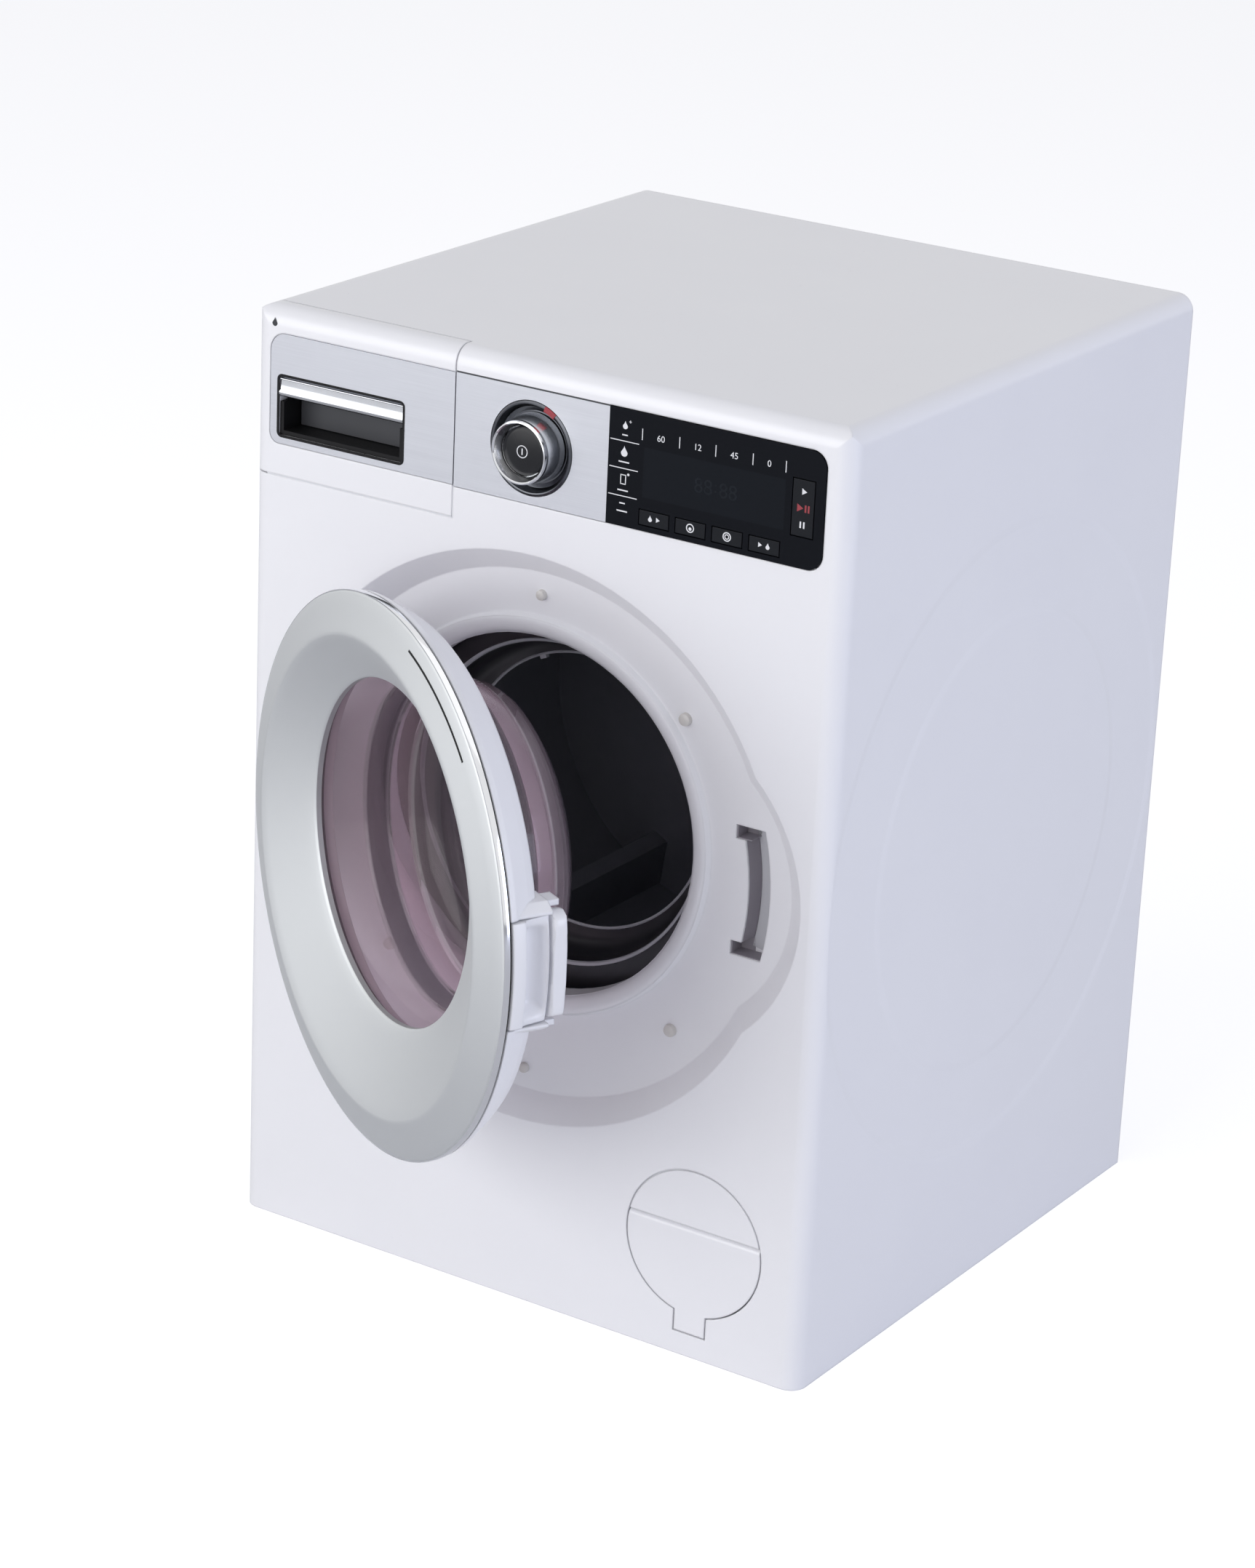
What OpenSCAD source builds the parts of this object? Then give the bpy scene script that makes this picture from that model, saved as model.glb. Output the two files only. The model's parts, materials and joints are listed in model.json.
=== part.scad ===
// Toy washing machine with an opening door, a detergent drawer, a dial, keys and a turning drum.
// Origin at the middle of the underside, X to the right, Y to the rear, Z up, millimetres.

/* [Housing] */
// Width over the side walls
body_w = 186; // [182:1:200]
// Depth from the front face to the rear cover
body_d = 183; // [178:1:200]
// Height from the floor to the top
body_h = 265; // [262:1:285]
// Thickness of the moulded walls
wall = 2.6; // [2.2:0.1:3]
// Radius of the long outer edges
edge_r = 5; // [3:0.5:6]
// Gap between fixed pieces that lie side by side
fit_gap = 0.2; // [0.1:0.05:0.3]
// Width of the ring mark on each side wall
mark_w = 22.5; // [15:0.5:30]
// Depth of the ring marks
mark_depth = 0.3; // [0.2:0.1:0.6]

/* [Door] */
// Angle at which the door stands open
door_open = 28; // [0:1:62]
// Sideways place of the door's middle
door_x = -1.6; // [-2.4:0.2:-1]
// Gap all round the shut door, in its well
door_gap = 4.8; // [4:0.1:5.4]
// Width of the door's outer band, from the rim to the crest
band_w = 11.7; // [11:0.1:13]
// How far the crest stands before the front face
crest_proud = 12; // [11:0.5:13]
// How far the door's rim stands before the front face
rim_proud = 8; // [7.5:0.1:8.5]
// Radius of the window as a share of the door's
window_share = 0.613; // [0.58:0.001:0.625]
// How far the window and the mouth sit above the door's middle
mouth_rise = 5.8; // [5:0.1:6.4]
// Wall of the door's mouldings
door_wall = 1.8; // [1.6:0.1:2]
// Depth of the clear bowl behind the front face
bowl_depth = 31; // [26:0.5:34]
// How much the bowl's radius shrinks towards its rear
bowl_taper = 5.1; // [4:0.1:7]

/* [Door well] */
// Border between the well and each side face
side_border = 11.4; // [11:0.1:13]
// Border between the well and the drawer above it
top_border = 4.8; // [4.6:0.1:6]
// Border between the well and the floor
low_border = 53.8; // [53:0.1:60]
// Depth of the well
well_depth = 6.3; // [5.8:0.1:6.8]
// Radius of the finger scoop as a share of the well's
scoop_share = 0.6; // [0.56:0.005:0.62]
// How far the scoop reaches out of the well
scoop_reach = 7.3; // [6:0.1:8]
// Radius of the mouth as a share of the well's
mouth_share = 0.62875; // [0.625:0.00125:0.6375]
// Width of the raised lip round the mouth
lip_w = 4.9; // [4.4:0.1:5.4]
// Height of the lip above the well's floor
lip_h = 1.8; // [1.2:0.1:2]

/* [Drawer] */
// Share of the width that the drawer front takes
drawer_share = 0.35645; // [0.345:0.0005:0.365]
// Height of the drawer front
drawer_h = 46.4; // [45:0.1:48]
// Thickness of the drawer front
drawer_t = 6.5; // [6:0.1:7.5]
// Length of the drawer tray
tray_len = 70; // [60:1:80]

/* [Control strip] */
// Height of the brushed strip
strip_h = 30.8; // [30:0.1:31.4]
// Distance of the strip's upper edge below the top
strip_drop = 6.8; // [6.4:0.1:7.6]
// Share of the width that the display panel takes
display_share = 0.34624; // [0.335:0.0005:0.355]
// Margin between the display panel and the side face
display_margin = 7.2; // [6.5:0.1:9]
// Radius of the dial's bezel
bezel_r = 12.6; // [12:0.1:12.8]
// Place of the dial between the drawer and the display, as a share of the way
dial_share = 0.501; // [0.48:0.001:0.53]
// How far the dial stands before the front face
dial_proud = 6; // [5:0.1:7]
// Travel of the keys
key_travel = 0.8; // [0.6:0.1:1]

/* [Drum] */
// Room round the mouth inside the tub, out to the tub's outer radius
tub_room = 21.3; // [19:0.1:21.5]
// Gap between the drum and the tub's wall
drum_gap = 4.4; // [3.4:0.1:6]
// How far the drum's mouth stands inside the housing's mouth
drum_lap = 3.3; // [2.5:0.1:5]
// Room behind the tub for the gears and the motor
drive_room = 60.4; // [56:0.1:66]
// Number of lifters in the drum
lifters = 3; // [3:1:4]
// Radius of the drum shaft
shaft_r = 4; // [3.5:0.1:4.5]
// Teeth of the drum gear
gear_teeth = 60; // [54:1:64]
// Teeth of the motor pinion
pinion_teeth = 12; // [12:1:14]
// Tooth size: pitch diameter over the number of teeth
tooth_module = 1; // [1:0.05:1.1]

/* [Filter flap] */
// Radius of the round flap
flap_r = 21; // [19:0.5:22]
// Distance of the flap's middle from the right side face
flap_off = 34.2; // [32:0.2:38]
// Height of the flap's middle above the floor
flap_z = 33.6; // [33:0.2:36]

/* [Hidden] */
$fn = 96;

// Planes and edges that other pieces share
left = -body_w / 2;
right = body_w / 2;
front = -body_d / 2;
rear = body_d / 2;
drawer_z0 = body_h - drawer_h;
mark_outer_r = body_d / 2 - 3.5;
mark_z = body_h / 2 - 1.5;
mark_flank = 2.4;

// The well is as large as its borders allow, and the door fills it
well_r = min(body_w / 2 - abs(door_x) - side_border, (drawer_z0 - top_border - low_border) / 2);
well_floor_r = well_r - well_depth;
scoop_r = scoop_share * well_r;
scoop_off = well_r + scoop_reach - scoop_r;
mouth_r = mouth_share * well_r;
door_z = drawer_z0 - top_border - well_r;
door_r = well_r - door_gap;
crest_r = door_r - band_w;
window_r = window_share * door_r;
bowl_r = window_r - bowl_taper;

// Door, hinge and latch
hinge_x = door_x - well_r - 0.2;
hinge_y = front + 3.8;
hinge_half = 26;
hinge_pin_r = 1.5;
knuckle_r = 3.2;
knuckle_gap = 0.5;
mouth_z = door_z + mouth_rise;
rim_y = front - rim_proud;
rim_t = 1.5;
back_r = door_r - 0.2;
door_back_y = front + 3.8;
door_back_r = door_r - 5.8;
dish_y = front - rim_proud + 4;
bowl_t = 1.6;
bowl_flange_r = window_r + 5.4;
collar_r = bowl_flange_r + 0.3;
skirt_r = back_r - 2.6;
skirt_t = 2;
door_screw_r = (collar_r + door_wall + skirt_r - skirt_t) / 2 - 1.2;
door_screw_angles = [17, 163, 240, 300];
latch_half = 14.2;
lug_half = 17.4;
latch_x0 = door_x + door_r - 11.4;
latch_x = door_x + door_r - 5.6;
slot_z = door_z + 0.8;
slot_half = 18.1;
slot_r0 = door_r - 7.6;
slot_r1 = door_r - 0.9;
hook_w = 4.6;
hook_h = 3.9;
latch_y = front - 3.3;
latch_pin_r = 1;
latch_gap = 0.5;
flange_r0 = door_r - 6;
flange_r1 = door_r - 2;
flange_y0 = front + 6.4;
flange_y1 = front + 10.2;
pocket_end = front + 11.8;

// Control strip
drawer_w = drawer_share * body_w;
seam_x = left + drawer_w;
seam_gap = 0.35;
strip_z1 = body_h - strip_drop;
strip_z0 = strip_z1 - strip_h;
panel_t = 0.9;
display_proud = 0.4;
display_x1 = right - display_margin;
display_w = display_share * body_w;
display_x0 = display_x1 - display_w;
dial_x = seam_x + dial_share * (display_x0 - seam_x);
dial_z = strip_z0 + 14.9;
face_y = front - dial_proud;
knob_r = 8.5;
button_r = 6.5;
key_w = 8.8;
key_h = 3.8;
key_pitch = 11;
key_x0 = display_x0 + 10.2;
key_z = strip_z0 + 1.8;
start_w = 6.2;
start_h = 14.6;
start_x = display_x1 - 9.2;
start_z = strip_z0 + 8.4;
key_gap = 0.3;
key_cap_y = front - display_proud;
key_flange_y = front + panel_t + fit_gap;
board_y = front + 9.8;
board_t = 1.6;
switch_h = 1.2;
stem_end = board_y - switch_h - key_travel - 0.1;

// Drawer
bulkhead_y = front + drawer_t + 0.4;
tray_y0 = front + drawer_t;
tray_x0 = left + 7;
tray_x1 = seam_x - 5;
tray_z0 = drawer_z0 + 3.6;
tray_z1 = drawer_z0 + 33.5;
run_gap = 0.4;
guide_h = 14;
sheet_t = 0.5;
grip_x0 = left + 8.5;
grip_x1 = seam_x - 16.7;
grip_z0 = strip_z0 + 2.6;
grip_z1 = strip_z0 + 19.1;
grip_depth = 14;
bar_h = 5.8;

// Tub, drum and drive, placed from the mouth
floor_y = front + well_depth;
rest_r = well_floor_r - 6.1;
well_back = floor_y + wall;
collar_end = front + 12;
tub_y0 = front + 14;
tub_y1 = rear - wall - drive_room;
tub_r = mouth_r + tub_room;
tub_wall = 2.2;
drum_r = tub_r - tub_wall - drum_gap;
drum_mouth_r = mouth_r - drum_lap;
tub_mouth_r = mouth_r + 5.2;
drum_y0 = tub_y0 + tub_wall + 1.6;
drum_y1 = tub_y1 - tub_wall - 6;
drum_wall = 1.8;
bush_r = shaft_r + 3;
gear_y0 = tub_y1 + 5;
gear_w = 7;
gear_r = gear_teeth * tooth_module / 2;
pinion_r = pinion_teeth * tooth_module / 2;
axle_gap = 0.15;
mesh_distance = gear_r + pinion_r + axle_gap;
mesh_angle = -38;
motor_x = door_x + mesh_distance * cos(mesh_angle);
motor_z = mouth_z + mesh_distance * sin(mesh_angle);
bracket_y = gear_y0 + gear_w + 3;
bracket_t = 2.4;
motor_r = 12;
motor_len = 27;
motor_shaft_r = 1.5;
bracket_feet = [[13, 11], [16, -6], [-3, -16.5]];
press_gap = 0.02;
ear_angles = [45, 135, 225, 315];
ear_r = tub_r + 4.6;

// Filter flap
flap_x = right - flap_off;
flap_t = 3;
flap_gap = 0.4;
flap_well = 10;
flap_axis_z = flap_z + 3;
flap_axis_y = front + flap_t / 2;
flap_pin_r = 0.7;
flap_half = sqrt(flap_r * flap_r - pow(flap_axis_z - flap_z + 0.4, 2));
tab_w = 9.6;
tab_drop = 5.6;

// Rear
cover_y = rear - wall;
boss_r = 4.5;
boss_x = right - wall - boss_r + 0.6;
cover_boss_len = 22;
cover_zs = [16, body_h / 2, body_h - 16];
screw_r = 1.45;
pilot_r = 1.5;
head_r = 2.9;
battery_z0 = 24;
battery_w = 66;
battery_h = 64;
battery_d = 18;
battery_ledge = 1.2;
battery_tab_z = battery_z0 + battery_h + 3.4;
cell_pitch = (battery_h - 2 * battery_ledge) / 4;
cell_z0 = battery_z0 + battery_ledge + cell_pitch / 2;
cell_r = 7.1;
cell_len = 49.5;
speaker_z = body_h - 59;
speaker_r = 20;

// Extrudes a front view outline from depth y0 to depth y1
module slab(y0, y1) {
    translate([0, y1, 0]) rotate([90, 0, 0]) linear_extrude(y1 - y0) children();
}

// Turns an outline of radius and depth about a line that runs from front to rear
module turned(x, z) {
    translate([x, 0, z]) rotate([-90, 0, 0]) rotate_extrude() children();
}

// A straight round bar from depth y0 to depth y1
module bar_y(x, z, r, y0, y1) {
    translate([x, y0, z]) rotate([-90, 0, 0]) cylinder(r = r, h = y1 - y0);
}

// A box given by its low and high corners
module box(low, high) {
    translate(low) cube(high - low);
}

// An outline with a radius at each corner: lower left, lower right, upper right, upper left
module round_rect(x0, z0, x1, z1, r) {
    difference() {
        translate([x0, z0]) square([x1 - x0, z1 - z0]);
        corner_cut(x0, z0, 1, 1, r[0]);
        corner_cut(x1, z0, -1, 1, r[1]);
        corner_cut(x1, z1, -1, -1, r[2]);
        corner_cut(x0, z1, 1, -1, r[3]);
    }
}

module corner_cut(x, z, sx, sz, r) {
    if (r > 0)
        difference() {
            translate([sx > 0 ? x - 1 : x - r, sz > 0 ? z - 1 : z - r]) square([r + 1, r + 1]);
            translate([x + sx * r, z + sz * r]) circle(r);
        }
}

function unit(v) = v / norm(v);

// Direction of a path at a point, from its neighbours
function heading(p, i) = unit(p[min(i + 1, len(p) - 1)] - p[max(i - 1, 0)]);

function first_side(h) = unit(cross(h, abs(h[2]) > 0.8 ? [1, 0, 0] : [0, 0, 1]));

function turned_side(u, h) = unit(u - (u * h) * h);

// Side directions carried along a path, so that a tube along it doesn't twist
function side_dirs(p) = [for (i = 0, u = first_side(heading(p, 0)); i < len(p);
    i = i + 1, u = turned_side(u, heading(p, min(i, len(p) - 1)))) u];

function bend(a, b, c, r, t) = let (
        u = b + r * unit(a - b),
        v = b + r * unit(c - b)
    ) (1 - t) * (1 - t) * u + 2 * t * (1 - t) * b + t * t * v;

// A path whose inner corners are replaced by bends that start r before them
function rounded_path(p, r) = [p[0],
    for (i = [1:len(p) - 2], t = [0:0.25:1]) bend(p[i - 1], p[i], p[i + 1], r, t), p[len(p) - 1]];

// A round wire along a list of points
module tube(p, r, sides) {
    side = side_dirs(p);
    last = (len(p) - 1) * sides;
    rings = [for (i = [0:len(p) - 1], k = [0:sides - 1])
        let (u = side[i], v = cross(heading(p, i), u), a = 360 * k / sides)
            p[i] + r * (cos(a) * u + sin(a) * v)];
    walls = [for (i = [0:len(p) - 2], k = [0:sides - 1])
        let (a = i * sides + k, b = i * sides + (k + 1) % sides)
            each [[b, a, a + sides], [b, a + sides, b + sides]]];
    ends = [for (k = [1:sides - 2]) each [[0, k, k + 1], [last, last + k + 1, last + k]]];
    polyhedron(rings, concat(walls, ends));
}

// The cabinet's solid form, drawn inwards by the amount given
module cabinet(inset, y_end, z_start) {
    r = max(edge_r - inset, 0.5);
    intersection() {
        slab(front + inset, y_end)
            round_rect(left + inset, z_start, right - inset, body_h - inset, [0, 0, r, r]);
        translate([0, 0, z_start]) linear_extrude(body_h)
            round_rect(left + inset, front + inset, right - inset, y_end + 1, [r, r, 0, 0]);
        translate([right, 0, 0]) rotate([0, 0, 180]) rotate([90, 0, 90]) linear_extrude(body_w)
            round_rect(-y_end - 1, z_start, -front - inset, body_h - inset, [0, 0, r, 0]);
    }
}

// The door turned from shut to where it stands
module swung() {
    translate([hinge_x, hinge_y, 0]) rotate([0, 0, -door_open]) translate([-hinge_x, -hinge_y, 0])
        children();
}

module well_cut(extra) {
    turned(door_x, door_z)
        polygon([[0, front - 1], [well_r + 1 + extra, front - 1], [well_r + extra, front],
            [well_floor_r + extra, floor_y + extra], [0, floor_y + extra]]);
    turned(door_x + scoop_off, door_z)
        polygon([[0, front - 1], [scoop_r + 1 + extra, front - 1], [scoop_r + extra, front],
            [scoop_r - well_depth + extra, floor_y + extra], [0, floor_y + extra]]);
}

// A stretch of a ring on the door's free side, given by its radii and half height
module free_side(r0, r1, z, half) {
    intersection() {
        translate([door_x, door_z]) difference() {
            circle(r1);
            circle(r0);
        }
        translate([door_x + r0 / 2, z - half]) square([r1, 2 * half]);
    }
}

// The bracket-shaped slot that takes the rear of the latch handle and the tips of its lugs
module slot_outline(grow) {
    free_side(slot_r0 - grow, slot_r1 + grow, slot_z, slot_half + grow);
    for (s = [-1, 1])
        translate([door_x + slot_r0 - hook_w - grow, slot_z + s * (slot_half - hook_h / 2)])
            translate([0, -hook_h / 2 - grow]) square([hook_w + grow, hook_h + 2 * grow]);
}

module housing() {
    color("white")
    difference() {
        union() {
            difference() {
                cabinet(0, rear, 0);
                cabinet(wall, rear + 1, -1);
            }
            intersection() {
                cabinet(0, rear, 0);
                union() {
                    bar_y(door_x, door_z, well_r + wall, front, well_back);
                    bar_y(door_x + scoop_off, door_z, scoop_r + wall, front, well_back);
                    slab(floor_y, pocket_end + 1.4) slot_outline(1.4);
                    box([left, front, door_z - hinge_half - 6],
                        [hinge_x + 14, hinge_y + 7, door_z + hinge_half + 6]);
                    box([left, front, drawer_z0 - wall], [seam_x + wall, bulkhead_y + wall, body_h]);
                }
            }
            turned(door_x, mouth_z)
                polygon([[mouth_r, floor_y], [mouth_r + lip_w, floor_y], [mouth_r + wall, well_back],
                    [mouth_r + wall, collar_end], [mouth_r, collar_end]]);
            bar_y(flap_x, flap_z, flap_r + 4, front, front + flap_well + wall);
            for (s = [-1, 1], z = cover_zs)
                bar_y(s * boss_x, z, boss_r, cover_y - cover_boss_len, cover_y);
            for (a = ear_angles)
                bar_y(door_x + ear_r * cos(a), mouth_z + ear_r * sin(a), 4, front + 1, tub_y0);
            for (s = [-1, 1], y = [front + wall + boss_r - 0.6, cover_y - 14])
                translate([s * (boss_x - 8), y, wall]) base_boss(s);
            board_posts();
        }
        well_cut(0);
        bar_y(door_x, mouth_z, mouth_r, front, collar_end + 1);
        slab(floor_y - 1, pocket_end) slot_outline(0);
        hinge_pocket();
        drawer_notch();
        strip_pocket();
        flap_pocket();
        for (s = [-1, 1], z = cover_zs)
            bar_y(s * boss_x, z, pilot_r, cover_y - 16, cover_y + 1);
        for (a = ear_angles)
            bar_y(door_x + ear_r * cos(a), mouth_z + ear_r * sin(a), pilot_r, floor_y + 2, tub_y0 + 1);
        side_marks();
    }
    color("white") intersection() {
        union() {
            rests();
            lip();
        }
        cabinet(0, rear, 0);
    }
}

// The raised lip round the mouth, open in the middle
module lip() {
    turned(door_x, mouth_z)
        polygon([[mouth_r, floor_y + 0.4], [mouth_r + lip_w, floor_y - lip_h],
            [mouth_r + lip_w + 0.8, floor_y], [mouth_r + lip_w + 0.8, floor_y + 1],
            [mouth_r, floor_y + 1]]);
}

module base_boss(s) {
    difference() {
        union() {
            cylinder(r = boss_r, h = 14);
            translate([s > 0 ? 0 : -12, -1, 0]) cube([12, 2, 14]);
        }
        translate([0, 0, -1]) cylinder(r = pilot_r, h = 13);
    }
}

module hinge_pocket() {
    box([hinge_x - knuckle_r - knuckle_gap, front - 1, door_z - hinge_half],
        [hinge_x + 9, hinge_y + knuckle_r + knuckle_gap, door_z + hinge_half]);
    translate([hinge_x, hinge_y, door_z - hinge_half - 3.5])
        cylinder(r = hinge_pin_r, h = 2 * hinge_half + 7);
}

module drawer_notch() {
    box([left - 1, front - 1, drawer_z0], [seam_x, bulkhead_y, body_h + 1]);
    box([tray_x0 - run_gap, bulkhead_y - 1, tray_z0 - run_gap],
        [tray_x1 + run_gap, bulkhead_y + wall + 1, tray_z1 + run_gap]);
}

module display_outline(grow) {
    round_rect(display_x0 - grow, strip_z0 + 0.1 - grow, display_x1 + grow, strip_z1 + 0.2 + grow,
        [0, 4.5, 4.5, 0]);
}

module strip_pocket() {
    slab(front - 1, front + panel_t) {
        translate([seam_x - 1, strip_z0 - fit_gap])
            square([display_x0 - seam_x + 1, strip_h + 2 * fit_gap]);
        display_outline(fit_gap);
    }
    slab(front, front + wall + 1) {
        translate([display_x0 + 4, strip_z0 + 0.8]) square([display_w - 5.4, strip_h - 3.2]);
        translate([dial_x, dial_z]) circle(bezel_r + fit_gap);
    }
}

// The moving lower part of the round flap, up to the height given, with its finger tab
module flap_outline(grow, top) {
    intersection() {
        union() {
            translate([flap_x, flap_z]) circle(flap_r + grow);
            translate([flap_x - tab_w / 2 - grow, flap_z - flap_r - tab_drop - grow])
                square([tab_w + 2 * grow, flap_r]);
        }
        translate([flap_x - 2 * flap_r, 0]) square([4 * flap_r, top]);
    }
}

module flap_pocket() {
    top = flap_axis_z + flap_t / 2 + flap_gap;
    slab(front - 1, front + flap_t) flap_outline(flap_gap, top);
    slab(front + flap_t - 0.5, front + flap_well) intersection() {
        translate([flap_x, flap_z]) circle(flap_r - 2);
        translate([flap_x - 2 * flap_r, 0]) square([4 * flap_r, top]);
    }
    slab(front - 1, front + 0.6) difference() {
        translate([flap_x, flap_z]) circle(flap_r + flap_gap);
        translate([flap_x, flap_z]) circle(flap_r);
    }
    translate([flap_x - flap_r - 3, flap_axis_y, flap_axis_z]) rotate([0, 90, 0])
        cylinder(r = flap_pin_r, h = 2 * flap_r + 6);
}

// Small round rests on the well's floor that the shut door leans on
module rests() {
    for (a = [90, -90]) rest(rest_r, a, 1.3);
    for (a = [43.5, -43.5, 136.5, -136.5]) rest(rest_r - 4, a, 1.6);
}

module rest(r, a, size) {
    bar_y(door_x + r * cos(a), door_z + r * sin(a), size, floor_y - size / 1.6, floor_y + 0.5);
}

// Shallow ring marks with soft flanks on both side walls
module side_marks() {
    r0 = mark_outer_r - mark_w;
    for (s = [-1, 1])
        translate([s * right, 0, mark_z]) rotate([0, s * 90, 0]) rotate_extrude()
            polygon([[r0 - mark_flank, 0], [r0, -mark_depth], [mark_outer_r, -mark_depth],
                [mark_outer_r + mark_flank, 0], [mark_outer_r + mark_flank, 1], [r0 - mark_flank, 1]]);
}

board_post_spots = [[display_x0 - 9, strip_z0 + 3], [display_x0 - 9, strip_z1 - 4],
    [display_x1 + 2.4, strip_z1 - 8], [display_x1 + 2.4, strip_z0 + 4]];

module board_posts() {
    for (p = board_post_spots)
        difference() {
            bar_y(p[0], p[1], 2.4, front + wall - 0.5, board_y);
            bar_y(p[0], p[1], 0.8, board_y - 5, board_y + 1);
        }
}

module rear_cover() {
    color("white")
    difference() {
        slab(cover_y, rear)
            round_rect(left + wall + fit_gap, wall + fit_gap, right - wall - fit_gap,
                body_h - wall - fit_gap, [0, 0, edge_r - wall, edge_r - wall]);
        for (s = [-1, 1], z = cover_zs) {
            bar_y(s * boss_x, z, screw_r + 0.25, cover_y - 1, rear + 1);
            bar_y(s * boss_x, z, head_r + 0.3, rear - 1.4, rear + 1);
        }
        slab(cover_y - 1, rear + 1) battery_outline(fit_gap);
        for (i = [-4:4])
            slab(cover_y - 1, rear + 1) grille_slot(i);
    }
}

// One upright slot of the round speaker grille
module grille_slot(i) {
    half = sqrt(pow(speaker_r - 3, 2) - pow(i * 3.6, 2)) - 1;
    translate([i * 3.6 - 0.8, speaker_z - half]) square([1.6, 2 * half]);
}

// A pan head screw whose head lies on the depth given, thread towards the front
module screw_y(x, z, y, length, r = screw_r, head = head_r) {
    bar_y(x, z, r, y - length, y);
    turned(x, z) polygon([[0, y], [head, y], [head, y + 0.7], [head * 0.7, y + 1.3], [0, y + 1.3]]);
}

module rear_screws() {
    color("silver")
    for (s = [-1, 1], z = cover_zs)
        screw_y(s * boss_x, z, rear - 1.4, 12);
}

module base_plate() {
    color("gainsboro")
    difference() {
        linear_extrude(wall)
            round_rect(left + wall + fit_gap, front + wall + fit_gap, right - wall - fit_gap,
                cover_y - fit_gap, [edge_r - wall, edge_r - wall, 0, 0]);
        for (s = [-1, 1], y = [front + wall + boss_r - 0.6, cover_y - 14]) {
            translate([s * (boss_x - 8), y, -1]) cylinder(r = screw_r + 0.25, h = wall + 2);
            translate([s * (boss_x - 8), y, -1]) cylinder(r = head_r + 0.3, h = 2.4);
        }
    }
}

module base_screws() {
    color("silver")
    for (s = [-1, 1], y = [front + wall + boss_r - 0.6, cover_y - 14])
        translate([s * (boss_x - 8), y, 0.2]) {
            cylinder(r = head_r, h = 1.2);
            cylinder(r = screw_r, h = 11);
        }
}

// Detergent drawer
module drawer_guide() {
    color("gainsboro")
    difference() {
        box([tray_x0 - run_gap - 1.6, bulkhead_y + wall, tray_z0 - run_gap - 1.8],
            [tray_x1 + run_gap + 1.6, tray_y0 + tray_len + 3.6, tray_z0 + guide_h]);
        box([tray_x0 - run_gap, bulkhead_y + wall - 1, tray_z0 - run_gap],
            [tray_x1 + run_gap, tray_y0 + tray_len + 2, tray_z0 + guide_h + 1]);
    }
}

module drawer_front() {
    color("white")
    difference() {
        intersection() {
            cabinet(0, rear, 0);
            box([left - 1, front - 1, drawer_z0 + seam_gap], [seam_x - seam_gap, tray_y0, body_h + 1]);
        }
        slab(front - 1, front + sheet_t) sheet_outline(fit_gap);
        box([grip_x0, front - 1, grip_z0], [grip_x1, tray_y0 + 1, grip_z1]);
        for (p = drawer_screw_spots)
            bar_y(p[0], p[1], 1, front + 2.5, tray_y0 + 1);
    }
}

drawer_screw_spots = [[grip_x1 + 6, tray_z0 + 5], [grip_x1 + 6, tray_z1 - 6], [left + 29, tray_z0 + 4.4]];

module sheet_outline(grow) {
    round_rect(left + 5.8 - grow, strip_z0 + 0.4 - grow, seam_x - 0.2, strip_z1 - 0.2 + grow,
        [3, 0, 0, 5]);
}

module drawer_sheet() {
    color("lightgray")
    difference() {
        slab(front, front + sheet_t) intersection() {
            sheet_outline(0);
            translate([left, 0]) square([drawer_w - seam_gap, body_h]);
        }
        box([grip_x0, front - 1, grip_z0], [grip_x1, front + 1, grip_z1]);
    }
}

// Chrome bar across the top of the finger well, its lower edge rolled round
module drawer_bar() {
    roll_r = 1.5;
    color("silver")
    translate([grip_x0 + 0.2, 0, grip_z1 - 0.2]) rotate([90, 0, 90])
        linear_extrude(grip_x1 - grip_x0 - 0.4)
            polygon(concat([[front + 3.2, 0], [front + 0.2, 0]],
                [for (a = [180:20:360]) [front + 1.4 + roll_r * cos(a), roll_r - bar_h + roll_r * sin(a)]],
                [[front + 3.2, 1.5 * roll_r - bar_h]]));
}

module drawer_grip_well() {
    color("black")
    difference() {
        box([grip_x0 + 0.2, front + 0.6, grip_z0 + 0.2],
            [grip_x1 - 0.2, front + grip_depth, grip_z1 - 0.2]);
        box([grip_x0 + 1.4, front - 1, grip_z0 + 1.4],
            [grip_x1 - 1.4, front + grip_depth - 1.4, grip_z1 - 1.4]);
        box([grip_x0, front, grip_z1 - bar_h - 1.4], [grip_x1, front + 3.6, grip_z1]);
    }
}

module drawer_tray() {
    y1 = tray_y0 + tray_len;
    t = 1.6;
    mid = (tray_x0 + tray_x1) / 2 + 6;
    color("white")
    difference() {
        union() {
            difference() {
                box([tray_x0, tray_y0, tray_z0], [tray_x1, y1, tray_z1]);
                box([tray_x0 + t, tray_y0 + t, tray_z0 + t], [tray_x1 - t, y1 - t, tray_z1 + 1]);
            }
            box([mid, front + grip_depth + 0.4, tray_z0 + t - 0.5], [mid + t, y1 - 1, tray_z1 - 6]);
        }
        box([grip_x0, tray_y0 - 1, grip_z0], [grip_x1, tray_y0 + t + 1, grip_z1]);
        for (p = drawer_screw_spots)
            bar_y(p[0], p[1], 1.2, tray_y0 - 1, tray_y0 + t + 1);
    }
}

module drawer_screws() {
    color("silver")
    for (p = drawer_screw_spots)
        screw_y(p[0], p[1], tray_y0 + 1.6, 5, 0.95, 2);
}

// Control strip
module control_panel() {
    color("silver")
    slab(front, front + panel_t) difference() {
        translate([seam_x, strip_z0]) square([display_x0 - fit_gap - seam_x, strip_h]);
        translate([dial_x, dial_z]) circle(bezel_r + fit_gap);
    }
}

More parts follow.
